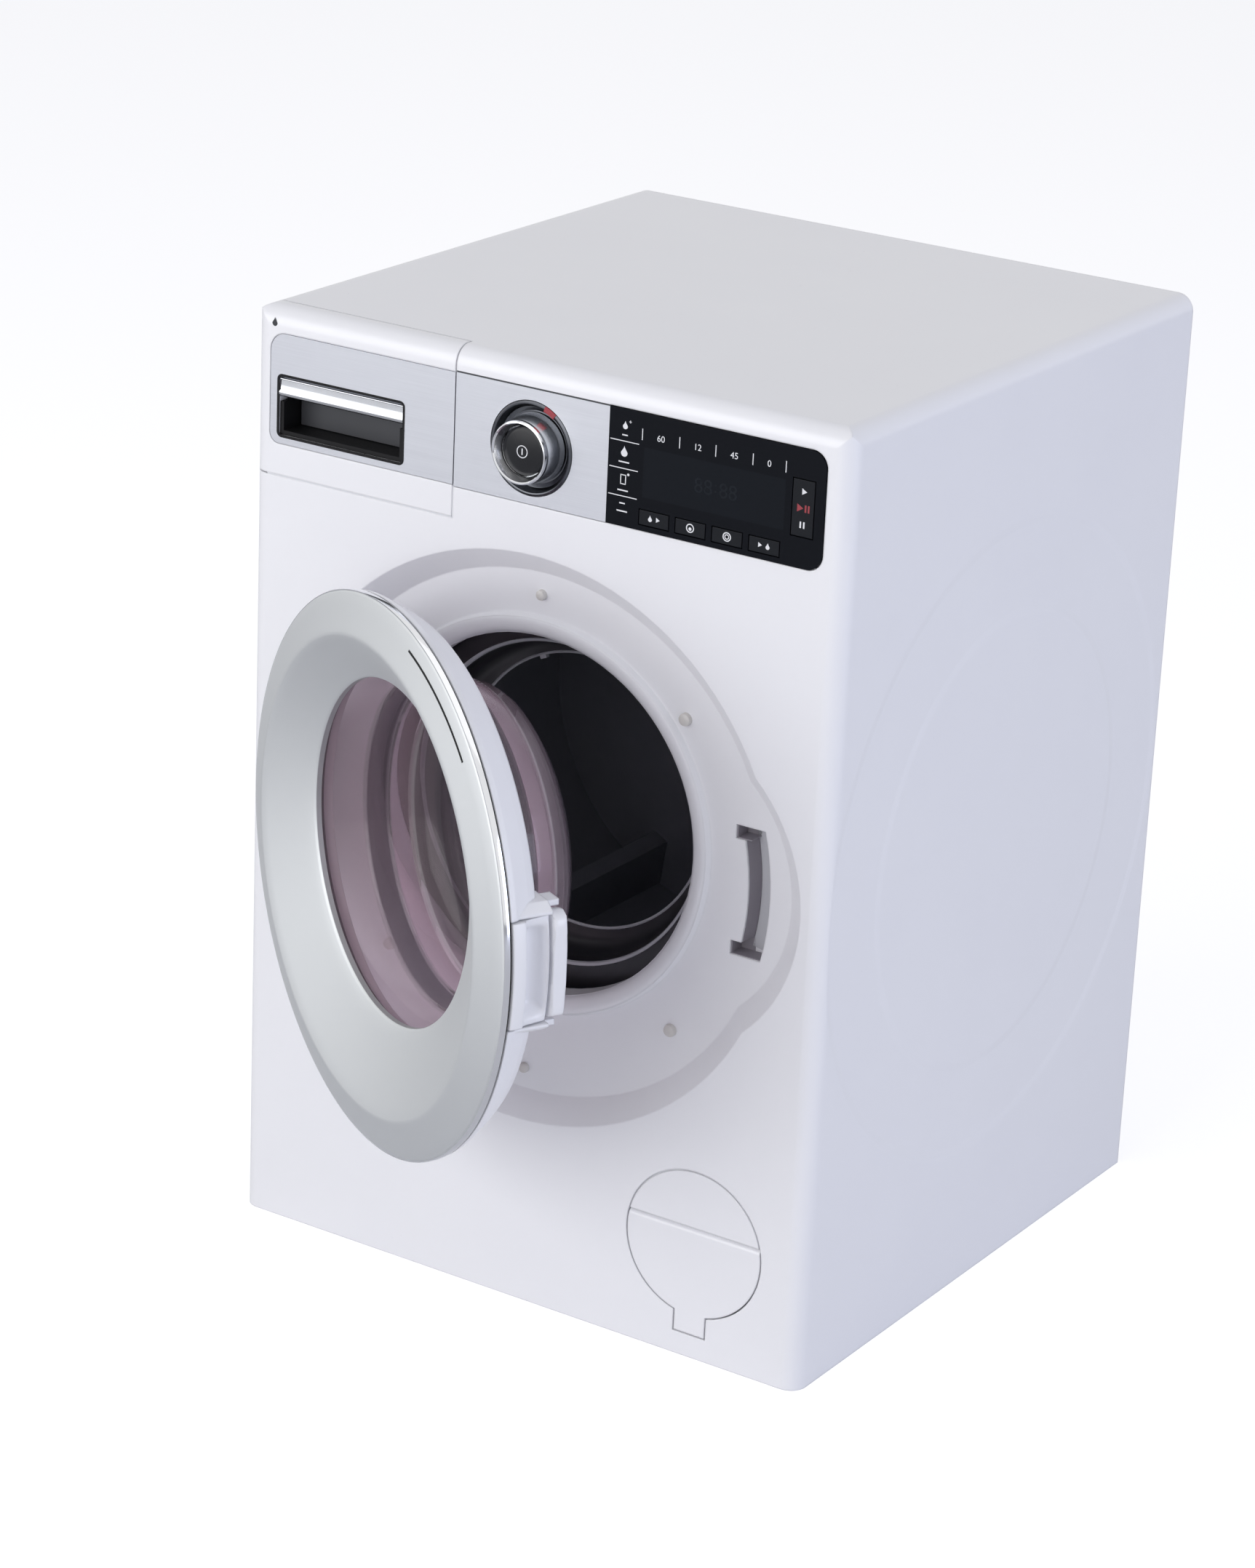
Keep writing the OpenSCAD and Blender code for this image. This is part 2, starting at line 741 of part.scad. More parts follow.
module key_hole(i) {
    translate([key_x0 + i * key_pitch - key_gap, key_z - key_gap])
        square([key_w + 2 * key_gap, key_h + 2 * key_gap]);
}

module display_panel() {
    color([0.05, 0.05, 0.06])
    slab(front - display_proud, front + panel_t) difference() {
        display_outline(0);
        for (i = [0:3]) key_hole(i);
        translate([start_x - key_gap, start_z - key_gap])
            square([start_w + 2 * key_gap, start_h + 2 * key_gap]);
    }
}

// A key cap with a flange behind the panel and a stem to its switch
module key(x, z, w, h) {
    color([0.06, 0.06, 0.07]) {
        box([x, key_cap_y, z], [x + w, key_flange_y + 0.5, z + h]);
        box([x - 0.9, key_flange_y, z - 0.7], [x + w + 0.9, key_flange_y + 0.9, z + h + 0.7]);
        bar_y(x + w / 2, z + h / 2, 1.3, key_flange_y + 0.4, stem_end);
    }
}

module programme_key_1() { key(key_x0, key_z, key_w, key_h); }
module programme_key_2() { key(key_x0 + key_pitch, key_z, key_w, key_h); }
module programme_key_3() { key(key_x0 + 2 * key_pitch, key_z, key_w, key_h); }
module programme_key_4() { key(key_x0 + 3 * key_pitch, key_z, key_w, key_h); }
module start_key() { key(start_x, start_z, start_w, start_h); }

// Dished ring that the dial turns in
module dial_bezel() {
    color([0.2, 0.2, 0.22])
    turned(dial_x, dial_z)
        polygon([[4.6, front + 2.3], [9.7, front + 2.3], [10.8, front + 1.7], [bezel_r - 0.8, front - 0.2],
            [bezel_r - 0.5, front - 0.3], [bezel_r, front], [bezel_r, front + 4], [4.6, front + 4]]);
}

// Hollow knob that widens a little towards its foot
module dial_knob() {
    color([0.35, 0.35, 0.38])
    turned(dial_x, dial_z) {
        polygon([[button_r + 0.3, face_y + 3], [knob_r, face_y + 1.5], [knob_r + 0.5, front - 0.6],
            [knob_r + 0.7, front + 1.9], [button_r + 0.3, front + 1.9]]);
        polygon([[1.9, front - 0.2], [button_r + 0.4, front - 0.2], [button_r + 0.4, front + 1.9],
            [4.2, front + 1.9], [4.2, board_y - 1.4], [1.9, board_y - 1.4]]);
    }
}

// Bright rim of the dial, with a funnel that runs in to the button
module dial_rim() {
    color("silver")
    turned(dial_x, dial_z)
        polygon([[button_r + 0.3, face_y + 2.9], [button_r + 0.3, face_y + 2.5], [knob_r - 0.8, face_y + 0.3],
            [knob_r - 0.5, face_y], [knob_r - 0.2, face_y + 0.1], [knob_r, face_y + 0.7],
            [knob_r, face_y + 1.4]]);
}

// Dished push button in the middle of the dial
module power_button() {
    color([0.08, 0.08, 0.09]) {
        turned(dial_x, dial_z)
            polygon([[0, face_y + 3.5], [3, face_y + 3.35], [5.4, face_y + 2.8],
                [button_r - 0.4, face_y + 2.6], [button_r, face_y + 2.9], [button_r, front - 1.4],
                [0, front - 1.4]]);
        bar_y(dial_x, dial_z, 1.4, front - 2, stem_end);
    }
}

module dial_encoder() {
    color("seagreen")
    difference() {
        box([dial_x - 7, front + 4.6, dial_z - 7], [dial_x + 7, board_y, dial_z + 7]);
        bar_y(dial_x, dial_z, 4.25, front, board_y - 1);
        bar_y(dial_x, dial_z, 2.6, front, board_y + 1);
    }
}

module control_board() {
    color("darkgreen")
    difference() {
        box([dial_x - 12, board_y, strip_z0 - 1], [right - wall - 0.6, board_y + board_t, strip_z1]);
        for (p = board_post_spots) bar_y(p[0], p[1], 1.1, board_y - 1, board_y + board_t + 1);
    }
}

module board_screws() {
    color("silver")
    for (p = board_post_spots) screw_y(p[0], p[1], board_y + board_t, 5, 0.75, 1.8);
}

module key_switches() {
    color([0.15, 0.15, 0.17]) {
        for (i = [0:3]) tact_switch(key_x0 + i * key_pitch + key_w / 2, key_z + key_h / 2);
        tact_switch(start_x + start_w / 2, start_z + start_h / 2);
        tact_switch(dial_x, dial_z, 1.7);
    }
}

module tact_switch(x, z, half = 2.4) {
    box([x - half, board_y - switch_h + 0.5, z - half], [x + half, board_y, z + half]);
    bar_y(x, z, 1.2, board_y - switch_h, board_y - 0.3);
}

module display_module() {
    color([0.1, 0.1, 0.12])
    box([display_x0 + 12, front + 2.4, strip_z0 + 9], [start_x - 3, board_y, strip_z1 - 6]);
}

// Door
// Ring with a flat sloping band that dips to the window, a skirt inside the back ring and screw posts
module door_front_ring() {
    crest_y = front - crest_proud;
    skirt_y = rim_y + rim_t + 2;
    inner = window_r - mouth_rise - 0.3;
    color("silver")
    swung() difference() {
        union() {
            difference() {
                turned(door_x, door_z)
                    polygon([[inner, dish_y + door_wall], [inner, crest_y], [crest_r + 0.4, crest_y],
                        [crest_r + 1.2, crest_y + 0.2], [door_r - 0.8, rim_y - 0.9],
                        [door_r - 0.2, rim_y - 0.4], [door_r, rim_y + 0.2], [door_r, rim_y + rim_t],
                        [skirt_r, rim_y + rim_t], [skirt_r, skirt_y],
                        [skirt_r - skirt_t, skirt_y], [skirt_r - skirt_t, dish_y + door_wall]]);
                difference() {
                    turned(door_x, door_z)
                        polygon([[inner, dish_y + door_wall + 1], [inner, crest_y + door_wall],
                            [crest_r + 0.6, crest_y + door_wall], [skirt_r - 1.6, rim_y + 1],
                            [skirt_r - 1.6, dish_y + door_wall + 1]]);
                    hull() {
                        bar_y(door_x, door_z, crest_r + door_wall, crest_y, crest_y + door_wall);
                        bar_y(door_x, mouth_z, window_r + door_wall + 1, dish_y + door_wall + 1.1,
                            dish_y + door_wall + 1.2);
                    }
                }
            }
            at_door_screws() bar_y(0, 0, 2.6, crest_y + door_wall, door_back_y - door_wall - 0.1);
        }
        hull() {
            bar_y(door_x, door_z, crest_r, crest_y - 0.02, crest_y - 0.01);
            bar_y(door_x, mouth_z, window_r, dish_y, dish_y + 0.01);
        }
        bar_y(door_x, mouth_z, window_r, crest_y - 1, dish_y + door_wall + 1);
        at_door_screws() bar_y(0, 0, 1.2, front - 5, door_back_y);
        box([latch_x0, rim_y + rim_t, door_z - lug_half - 0.9],
            [door_x + well_r, front, door_z + lug_half + 0.9]);
    }
}

// Places a piece at each of the door's screws
module at_door_screws() {
    for (a = door_screw_angles)
        translate([door_x + door_screw_r * cos(a), 0, door_z + door_screw_r * sin(a)]) children();
}

module door_back_ring() {
    y0 = rim_y + rim_t + fit_gap;
    inner = collar_r - mouth_rise - 4;
    color("white")
    swung() difference() {
        union() {
            difference() {
                union() {
                    turned(door_x, door_z)
                        polygon([[back_r - 1.6, y0], [back_r, y0], [back_r - 0.4, front - 4.5],
                            [back_r - 3.6, front + 0.6], [door_back_r, door_back_y - 0.6],
                            [door_back_r - 0.8, door_back_y], [inner, door_back_y],
                            [inner, door_back_y - door_wall], [door_back_r - 3, door_back_y - door_wall],
                            [back_r - 5.6, front + 0.2], [back_r - 2.4, front - 4.5]]);
                    bar_y(door_x, mouth_z, collar_r + door_wall, front - 0.3, door_back_y);
                }
                bar_y(door_x, mouth_z, collar_r, y0 - 1, door_back_y + 1);
            }
            hinge_arm();
            latch_lugs();
        }
        latch_notch();
        at_door_screws() bar_y(0, 0, 1.3, y0 - 1, door_back_y + 1);
        translate([hinge_x, hinge_y, door_z - hinge_half])
            cylinder(r = hinge_pin_r + 0.06, h = 2 * hinge_half);
    }
}

// Arm and long knuckle that turn on the hinge pin
module hinge_arm() {
    half = hinge_half - 0.5;
    translate([0, 0, door_z - half]) linear_extrude(2 * half)
        translate([hinge_x, hinge_y]) {
            circle(knuckle_r);
            polygon([[0, -knuckle_r], [4.2, -3.3], [6.2, -7], [11, -7], [11, -0.2], [3, 3], [0, knuckle_r]]);
        }
}

// Fixed lugs above and below the handle, each with a sloping outer shoulder and a tip for the slot
module latch_lugs() {
    inner = latch_half + latch_gap;
    x1 = door_x + slot_r1 - 1.8;
    for (s = [-1, 1]) {
        slab(rim_y + rim_t + fit_gap, floor_y - 0.6) polygon([[latch_x0 - 1, door_z + s * inner],
            [x1, door_z + s * inner], [x1, door_z + s * (inner + 0.8)], [x1 - 3, door_z + s * lug_half],
            [latch_x0 - 1, door_z + s * lug_half]]);
        slab(front, flange_y1 - 1) polygon([[latch_x0, door_z + s * (inner + 0.7)],
            [latch_x0 + 5, door_z + s * (inner + 0.7)], [latch_x0 + 5, door_z + s * (lug_half - 0.4)],
            [latch_x0, door_z + s * (lug_half - 0.4)]]);
    }
}

module latch_notch() {
    half = latch_half + latch_gap;
    box([latch_x0 - 3.4, rim_y, door_z - half], [door_x + well_r, door_back_y + 1, door_z + half]);
    translate([latch_x, latch_y, door_z - lug_half - 1])
        cylinder(r = latch_pin_r + press_gap, h = 2 * lug_half + 2);
}

// Handle on the free edge: finger plate, hollow for the fingertip, ledge and rear flange
module latch_handle() {
    plate_r = door_r - 0.1;
    plate_y1 = front - 1.4;
    ledge_y0 = front + 3.4;
    color("white")
    swung() difference() {
        union() {
            slab(front - 6, plate_y1) free_side(latch_x0 - 1.4 - door_x, plate_r, door_z, latch_half);
            slab(plate_y1 - 1, flange_y0 + 1) free_side(flange_r0 - 0.6, flange_r0 + 1.4, door_z, latch_half);
            slab(ledge_y0, ledge_y0 + 1.4) free_side(flange_r0 - 0.6, flange_r1 - 0.8, door_z, latch_half);
            slab(flange_y0, flange_y1) intersection() {
                free_side(flange_r0, flange_r1, door_z, latch_half);
                round_rect(door_x + flange_r0 - 3, door_z - latch_half, door_x + flange_r1 - 0.8,
                    door_z + latch_half, [0, 3, 3, 0]);
            }
        }
        translate([latch_x, latch_y, door_z - 2 * latch_half])
            cylinder(r = latch_pin_r + 0.05, h = 4 * latch_half);
        translate([latch_x, latch_y, door_z + latch_half - 2]) cylinder(r = 1.85, h = 3);
    }
}

module latch_pin() {
    color("silver")
    swung() translate([latch_x, latch_y, door_z - lug_half - 0.4])
        cylinder(r = latch_pin_r, h = 2 * lug_half + 0.8);
}

// Coil round the latch pin with one leg on the handle's web and one on the ring's lug
module latch_spring() {
    turns = 3;
    coil_r = 1.5;
    z0 = door_z + latch_half - 1.8;
    coil = [for (i = [0:12 * turns])
        [latch_x + coil_r * cos(i * 30 + 90), latch_y + coil_r * sin(i * 30 + 90), z0 + i * 0.05]];
    leg_end = [latch_x - 1, latch_y + coil_r, z0];
    tip = [latch_x, latch_y + coil_r, door_z + latch_half + latch_gap];
    color("silver") swung() tube(concat([leg_end], coil, [tip]), 0.22, 6);
}

// Clear bowl: flange behind the front ring and a deep tapered wall with one moulded step
module door_bowl() {
    y0 = dish_y + door_wall + 0.1;
    y1 = front + bowl_depth;
    base_r = window_r + 1;
    step_y = y0 + 0.45 * bowl_depth;
    step_r = (base_r + bowl_r) / 2;
    step_h = 0.6;
    color([0.8, 0.85, 0.9, 0.35])
    swung() turned(door_x, mouth_z) difference() {
        union() {
            polygon([[0, y0], [bowl_flange_r, y0], [bowl_flange_r, y0 + 1.6], [base_r + bowl_t, y0 + 1.6],
                [step_r + bowl_t + step_h, step_y - step_h], [step_r + bowl_t - step_h, step_y + step_h],
                [bowl_r + bowl_t, y1 - 8], [bowl_r - 6, y1], [0, y1]]);
            translate([bowl_r - 6.4, y1 - 8]) circle(8);
        }
        translate([-20, y0 - 1]) square([20, bowl_depth + 20]);
        polygon([[-1, y0 - 1], [base_r, y0 - 1], [base_r, y0], [step_r + step_h, step_y - step_h],
            [step_r - step_h, step_y + step_h], [bowl_r, y1 - 8], [bowl_r - 7, y1 - bowl_t],
            [-1, y1 - bowl_t]]);
        translate([bowl_r - 6.4, y1 - 8]) circle(8 - bowl_t);
    }
}

module door_screws() {
    color("silver") swung() at_door_screws() screw_y(0, 0, door_back_y, 8, 1.15, 2.2);
}

module hinge_pin() {
    color("silver")
    translate([hinge_x, hinge_y, door_z - hinge_half - 3.4])
        cylinder(r = hinge_pin_r, h = 2 * hinge_half + 6.8);
}

// Tub and drum
module door_seal() {
    color([0.1, 0.1, 0.1])
    turned(door_x, mouth_z)
        polygon([[mouth_r + wall + 0.1, tub_y0 - 0.1], [tub_mouth_r + 4, tub_y0 - 0.1],
            [tub_mouth_r + 4, collar_end - 1.4], [mouth_r + wall + 0.1, collar_end - 1.4]]);
}

module tub() {
    color([0.85, 0.86, 0.88])
    difference() {
        union() {
            turned(door_x, mouth_z)
                polygon([[tub_mouth_r, tub_y0], [tub_r, tub_y0], [tub_r, tub_y1], [bush_r, tub_y1],
                    [bush_r, tub_y1 + 3], [bush_r - 2, tub_y1 + 3], [bush_r - 2, tub_y1 - tub_wall],
                    [tub_r - tub_wall, tub_y1 - tub_wall], [tub_r - tub_wall, tub_y0 + tub_wall],
                    [tub_mouth_r, tub_y0 + tub_wall]]);
            bar_y(door_x, mouth_z, bush_r + 2.4, tub_y1 - tub_wall - 2, tub_y1 + 3);
            for (a = ear_angles) tub_ear(a);
            for (p = bracket_feet)
                bar_y(motor_x + p[0], motor_z + p[1], 3.2, tub_y1 - 0.5, bracket_y);
        }
        for (p = bracket_feet)
            bar_y(motor_x + p[0], motor_z + p[1], 1, bracket_y - 9, bracket_y + 1);
        bar_y(door_x, mouth_z, bush_r, tub_y1 - tub_wall - 4, tub_y1 + 4);
        for (a = ear_angles)
            bar_y(door_x + ear_r * cos(a), mouth_z + ear_r * sin(a), screw_r + 0.25, tub_y0 - 1, tub_y0 + 4);
    }
}

module tub_ear(a) {
    translate([door_x, 0, mouth_z]) rotate([0, -a, 0]) {
        bar_y(ear_r, 0, 4, tub_y0, tub_y0 + 3);
        translate([tub_r - 1, tub_y0, -4]) cube([ear_r - tub_r + 1, 3, 8]);
    }
}

module tub_screws() {
    color("silver")
    for (a = ear_angles)
        screw_y(door_x + ear_r * cos(a), mouth_z + ear_r * sin(a), tub_y0 + 3, 8);
}

module drum_bush() {
    color("goldenrod")
    turned(door_x, mouth_z)
        polygon([[shaft_r + 0.05, tub_y1 - tub_wall - 2], [bush_r, tub_y1 - tub_wall - 2],
            [bush_r, tub_y1 + 3], [shaft_r + 0.05, tub_y1 + 3]]);
}

module drum_shell() {
    color("gray")
    turned(door_x, mouth_z)
        polygon([[drum_r - drum_wall, drum_y0 + 3], [drum_r, drum_y0 + 3], [drum_r, drum_y1],
            [shaft_r + 4, drum_y1], [shaft_r + 4, drum_y1 + 4], [shaft_r, drum_y1 + 4],
            [shaft_r, drum_y1 - 6], [shaft_r + 6, drum_y1 - 6], [shaft_r + 8, drum_y1 - drum_wall],
            [drum_r - drum_wall, drum_y1 - drum_wall]]);
}

module drum_mouth_ring() {
    color("lightgray")
    turned(door_x, mouth_z)
        polygon([[drum_mouth_r, drum_y0 + 5], [drum_mouth_r, drum_y0 + 1.4],
            [drum_mouth_r + 1.4, drum_y0], [drum_r - 4, drum_y0], [drum_r, drum_y0 + 3],
            [drum_r - drum_wall - fit_gap, drum_y0 + 3], [drum_r - drum_wall - fit_gap, drum_y0 + 6],
            [drum_r - drum_wall - 2, drum_y0 + 6], [drum_r - drum_wall - 2, drum_y0 + 2],
            [drum_mouth_r + 1.8, drum_y0 + 2], [drum_mouth_r + 1.8, drum_y0 + 5]]);
}

module drum_lifters() {
    y0 = drum_y0 + 10;
    y1 = drum_y1 - drum_wall;
    base_r = drum_r - drum_wall;
    color("silver")
    for (i = [0:lifters - 1])
        translate([door_x, 0, mouth_z]) rotate([0, i * 360 / lifters + 30, 0])
            intersection() {
                slab(y0, y1) polygon([[-8, -base_r - 1], [8, -base_r - 1], [2.4, -base_r + 13],
                    [-2.4, -base_r + 13]]);
                rotate([-90, 0, 0]) translate([0, 0, y0]) cylinder(r = base_r, h = y1 - y0);
            }
}

module drum_shaft() {
    color("silver")
    bar_y(door_x, mouth_z, shaft_r, drum_y1 - 6, gear_y0 + gear_w + 2.4);
}

// Outline of a spur gear: each tooth has a straight sided flank close to an involute
function tooth_points(teeth, i) = let (
        r = teeth * tooth_module / 2,
        a = 360 / teeth * i,
        root = r - 1.1 * tooth_module,
        tip = r + 0.85 * tooth_module,
        half_pitch = 90 / teeth - 0.09 * 180 / (PI * r),
        half_tip = half_pitch - 0.85 * tooth_module * tan(20) * 180 / (PI * r),
        half_root = half_pitch + 1.1 * tooth_module * tan(20) * 0.7 * 180 / (PI * r)
    ) [[root, a - half_root], [r, a - half_pitch], [tip, a - half_tip],
       [tip, a + half_tip], [r, a + half_pitch], [root, a + half_root]];

module gear_outline(teeth, turn) {
    points = [for (i = [0:teeth - 1], p = tooth_points(teeth, i))
        [p[0] * cos(p[1] + turn), p[0] * sin(p[1] + turn)]];
    polygon(points);
}

module drum_gear() {
    color("ivory")
    translate([door_x, 0, mouth_z]) difference() {
        union() {
            slab(gear_y0, gear_y0 + gear_w) gear_outline(gear_teeth, mesh_angle);
            bar_y(0, 0, shaft_r + 4, gear_y0 - 1.6, gear_y0 + gear_w + 0.4);
        }
        bar_y(0, 0, shaft_r + press_gap, gear_y0 - 3, gear_y0 + gear_w + 3);
        for (a = [0:60:300])
            bar_y(gear_r * 0.58 * cos(a), gear_r * 0.58 * sin(a), gear_r * 0.2,
                gear_y0 - 1, gear_y0 + gear_w + 1);
    }
}

module shaft_clip() {
    color("silver")
    difference() {
        bar_y(door_x, mouth_z, shaft_r + 2, gear_y0 + gear_w + 0.6, gear_y0 + gear_w + 1.6);
        bar_y(door_x, mouth_z, shaft_r + press_gap, gear_y0 + gear_w, gear_y0 + gear_w + 3);
        box([door_x - 1.5, gear_y0 + gear_w, mouth_z], [door_x + 1.5, gear_y0 + gear_w + 3, mouth_z + 10]);
    }
}

module motor_pinion() {
    color("ivory")
    translate([motor_x, 0, motor_z]) difference() {
        slab(gear_y0 - 0.5, gear_y0 + gear_w + 0.5)
            gear_outline(pinion_teeth, mesh_angle + 180 + 180 / pinion_teeth);
        bar_y(0, 0, motor_shaft_r, gear_y0 - 2, gear_y0 + gear_w + 2);
    }
}

module motor_bracket() {
    color("gainsboro")
    difference() {
        union() {
            slab(bracket_y, bracket_y + bracket_t)
                translate([motor_x, motor_z]) circle(motor_r + 8);
        }
        bar_y(motor_x, motor_z, 3.4, bracket_y - 1, bracket_y + bracket_t + 1);
        for (s = [-1, 1])
            bar_y(motor_x + s * 8, motor_z, 1.15, bracket_y - 1, bracket_y + bracket_t + 1);
        for (p = bracket_feet)
            bar_y(motor_x + p[0], motor_z + p[1], 1.2, bracket_y - 1, bracket_y + bracket_t + 1);
    }
}

module gear_motor() {
    y0 = bracket_y + bracket_t;
    color([0.75, 0.75, 0.78]) difference() {
        turned(motor_x, motor_z)
            polygon([[motor_shaft_r + 0.05, bracket_y], [3.2, bracket_y], [3.2, y0], [motor_r - 1, y0],
                [motor_r, y0 + 1], [motor_r, y0 + motor_len - 1.5], [motor_r - 1.5, y0 + motor_len],
                [0, y0 + motor_len], [0, y0 + 6.4], [motor_shaft_r + 0.05, y0 + 6.4]]);
        for (s = [-1, 1]) bar_y(motor_x + s * 8, motor_z, 1.05, y0 - 1, y0 + 2);
    }
}

module motor_shaft() {
    color("silver") bar_y(motor_x, motor_z, motor_shaft_r, gear_y0 - 1.5, bracket_y + bracket_t + 6);
}

module motor_screws() {
    color("silver")
    for (s = [-1, 1])
        translate([0, 2 * bracket_y, 0]) mirror([0, 1, 0])
            screw_y(motor_x + s * 8, motor_z, bracket_y, 4, 1, 1.8);
    color("silver")
    for (p = bracket_feet)
        screw_y(motor_x + p[0], motor_z + p[1], bracket_y + bracket_t, 8, 0.95, 2.2);
}

// Filter flap
module filter_flap() {
    color("white")
    difference() {
        union() {
            slab(front, front + flap_t) flap_outline(0, flap_axis_z);
            translate([flap_x - flap_half, flap_axis_y, flap_axis_z]) rotate([0, 90, 0])
                cylinder(d = flap_t, h = 2 * flap_half);
        }
        translate([flap_x - flap_r - 1, flap_axis_y, flap_axis_z]) rotate([0, 90, 0])
            cylinder(r = flap_pin_r + 0.05, h = 2 * flap_r + 2);
        bar_y(flap_x, flap_z - 6, flap_r - 9, front + 1.6, front + flap_t + 1);
    }
}

module flap_pin() {
    color("silver")
    translate([flap_x - flap_r - 2.6, flap_axis_y, flap_axis_z]) rotate([0, 90, 0])
        cylinder(r = flap_pin_r, h = 2 * flap_r + 5.2);
}

// Batteries and speaker
// Outline of the battery cover with the round tab that takes its screw
module battery_outline(grow) {
    round_rect(-battery_w / 2 - grow, battery_z0 - grow, battery_w / 2 + grow,
        battery_z0 + battery_h + grow, [2, 2, 2, 2]);
    translate([0, battery_tab_z]) circle(5 + grow);
}

module battery_box() {
    t = 1.6;
    y0 = cover_y - battery_d;
    inner = battery_w / 2 - battery_ledge;
    color("gainsboro")
    difference() {
        union() {
            box([-battery_w / 2 - t, y0 - t, battery_z0 - t],
                [battery_w / 2 + t, cover_y, battery_z0 + battery_h + t]);
            bar_y(0, battery_tab_z, 6.6, cover_y - 10, cover_y);
        }
        box([-inner, y0, battery_z0 + battery_ledge],
            [inner, cover_y + 1, battery_z0 + battery_h - battery_ledge]);
        bar_y(0, battery_tab_z, 1.25, cover_y - 9, cover_y + 1);
    }
}

module battery_cells() {
    y = cover_y - battery_d + cell_r + 0.4;
    color("dimgray")
    for (i = [0:3]) {
        s = i % 2 == 0 ? 1 : -1;
        translate([0, y, cell_z0 + i * cell_pitch]) rotate([0, s * 90, 0])
            translate([0, 0, -cell_len / 2]) {
                cylinder(r = cell_r, h = cell_len - 1.2);
                cylinder(r = 2.6, h = cell_len);
            }
    }
}

module battery_contacts() {
    y = cover_y - battery_d + cell_r + 0.4;
    color("silver")
    for (i = [0:3], s = [-1, 1])
        translate([s * (battery_w / 2 - battery_ledge), y, cell_z0 + i * cell_pitch])
            rotate([0, -s * 90, 0]) {
                cylinder(r = 6, h = 0.6);
                cylinder(r1 = 5, r2 = 2.4, h = (battery_w - cell_len) / 2 - battery_ledge);
            }
}

module battery_cover() {
    color("white")
    difference() {
        slab(cover_y, rear) battery_outline(0);
        bar_y(0, battery_tab_z, 1.35, cover_y - 1, rear + 1);
        bar_y(0, battery_tab_z, 2.5, rear - 1.4, rear + 1);
        for (i = [0:4])
            box([-10, rear - 0.6, battery_z0 + 5 + i * 3], [10, rear + 1, battery_z0 + 6.2 + i * 3]);
    }
}

module battery_screw() {
    color("silver") screw_y(0, battery_tab_z, rear - 1.4, 8, 1.2, 2.2);
}

module speaker() {
    color([0.15, 0.15, 0.16])
    turned(0, speaker_z)
        polygon([[0, cover_y - 14], [10, cover_y - 14], [10, cover_y - 8], [speaker_r - 2, cover_y - 3],
            [speaker_r, cover_y - 3], [speaker_r, cover_y], [speaker_r - 3, cover_y],
            [6, cover_y - 5], [0, cover_y - 5]]);
}

// Wires from the motor, the battery box and the speaker to the control board
module wiring() {
    board = board_y + board_t;
    motor_end = bracket_y + bracket_t + motor_len;
    box_top = battery_z0 + battery_h + 1.6;
    from_motor = [[motor_x + 6, motor_end, motor_z], [motor_x + 6, motor_end + 8, motor_z],
        [28, motor_end + 8, speaker_z], [28, rear - 22, strip_z0 + 15], [28, board, strip_z0 + 15]];
    from_box = [[-22, cover_y - 8, box_top], [-22, cover_y - 8, box_top + 14],
        [-34, cover_y - 8, speaker_z - 30], [-10, rear - 30, strip_z0 + 12], [-10, board, strip_z0 + 12]];
    from_speaker = [[4, cover_y - 14, speaker_z], [4, cover_y - 24, speaker_z],
        [4, cover_y - 30, strip_z0 + 15], [4, board, strip_z0 + 15]];
    color("firebrick")
    for (run = [from_motor, from_box, from_speaker]) tube(rounded_path(run, 5), 0.7, 8);
}

housing();
rear_cover();
rear_screws();
base_plate();
base_screws();
drawer_guide();
drawer_front();
drawer_sheet();
drawer_bar();
drawer_grip_well();
drawer_tray();
drawer_screws();
control_panel();
display_panel();
dial_bezel();
dial_knob();
dial_rim();
power_button();
start_key();
programme_key_1();
programme_key_2();
programme_key_3();
programme_key_4();
control_board();
board_screws();
key_switches();
display_module();
dial_encoder();
door_front_ring();
door_back_ring();
door_bowl();
door_screws();
hinge_pin();
latch_handle();
latch_pin();
latch_spring();
door_seal();
tub();
tub_screws();
drum_bush();
drum_shell();
drum_mouth_ring();
drum_lifters();
drum_shaft();
drum_gear();
shaft_clip();
gear_motor();
motor_shaft();
motor_bracket();
motor_screws();
motor_pinion();
filter_flap();
flap_pin();
battery_box();
battery_cells();
battery_contacts();
battery_cover();
battery_screw();
speaker();
wiring();
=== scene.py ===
import json
import math

import bmesh
import bpy
from mathutils import Matrix, Vector


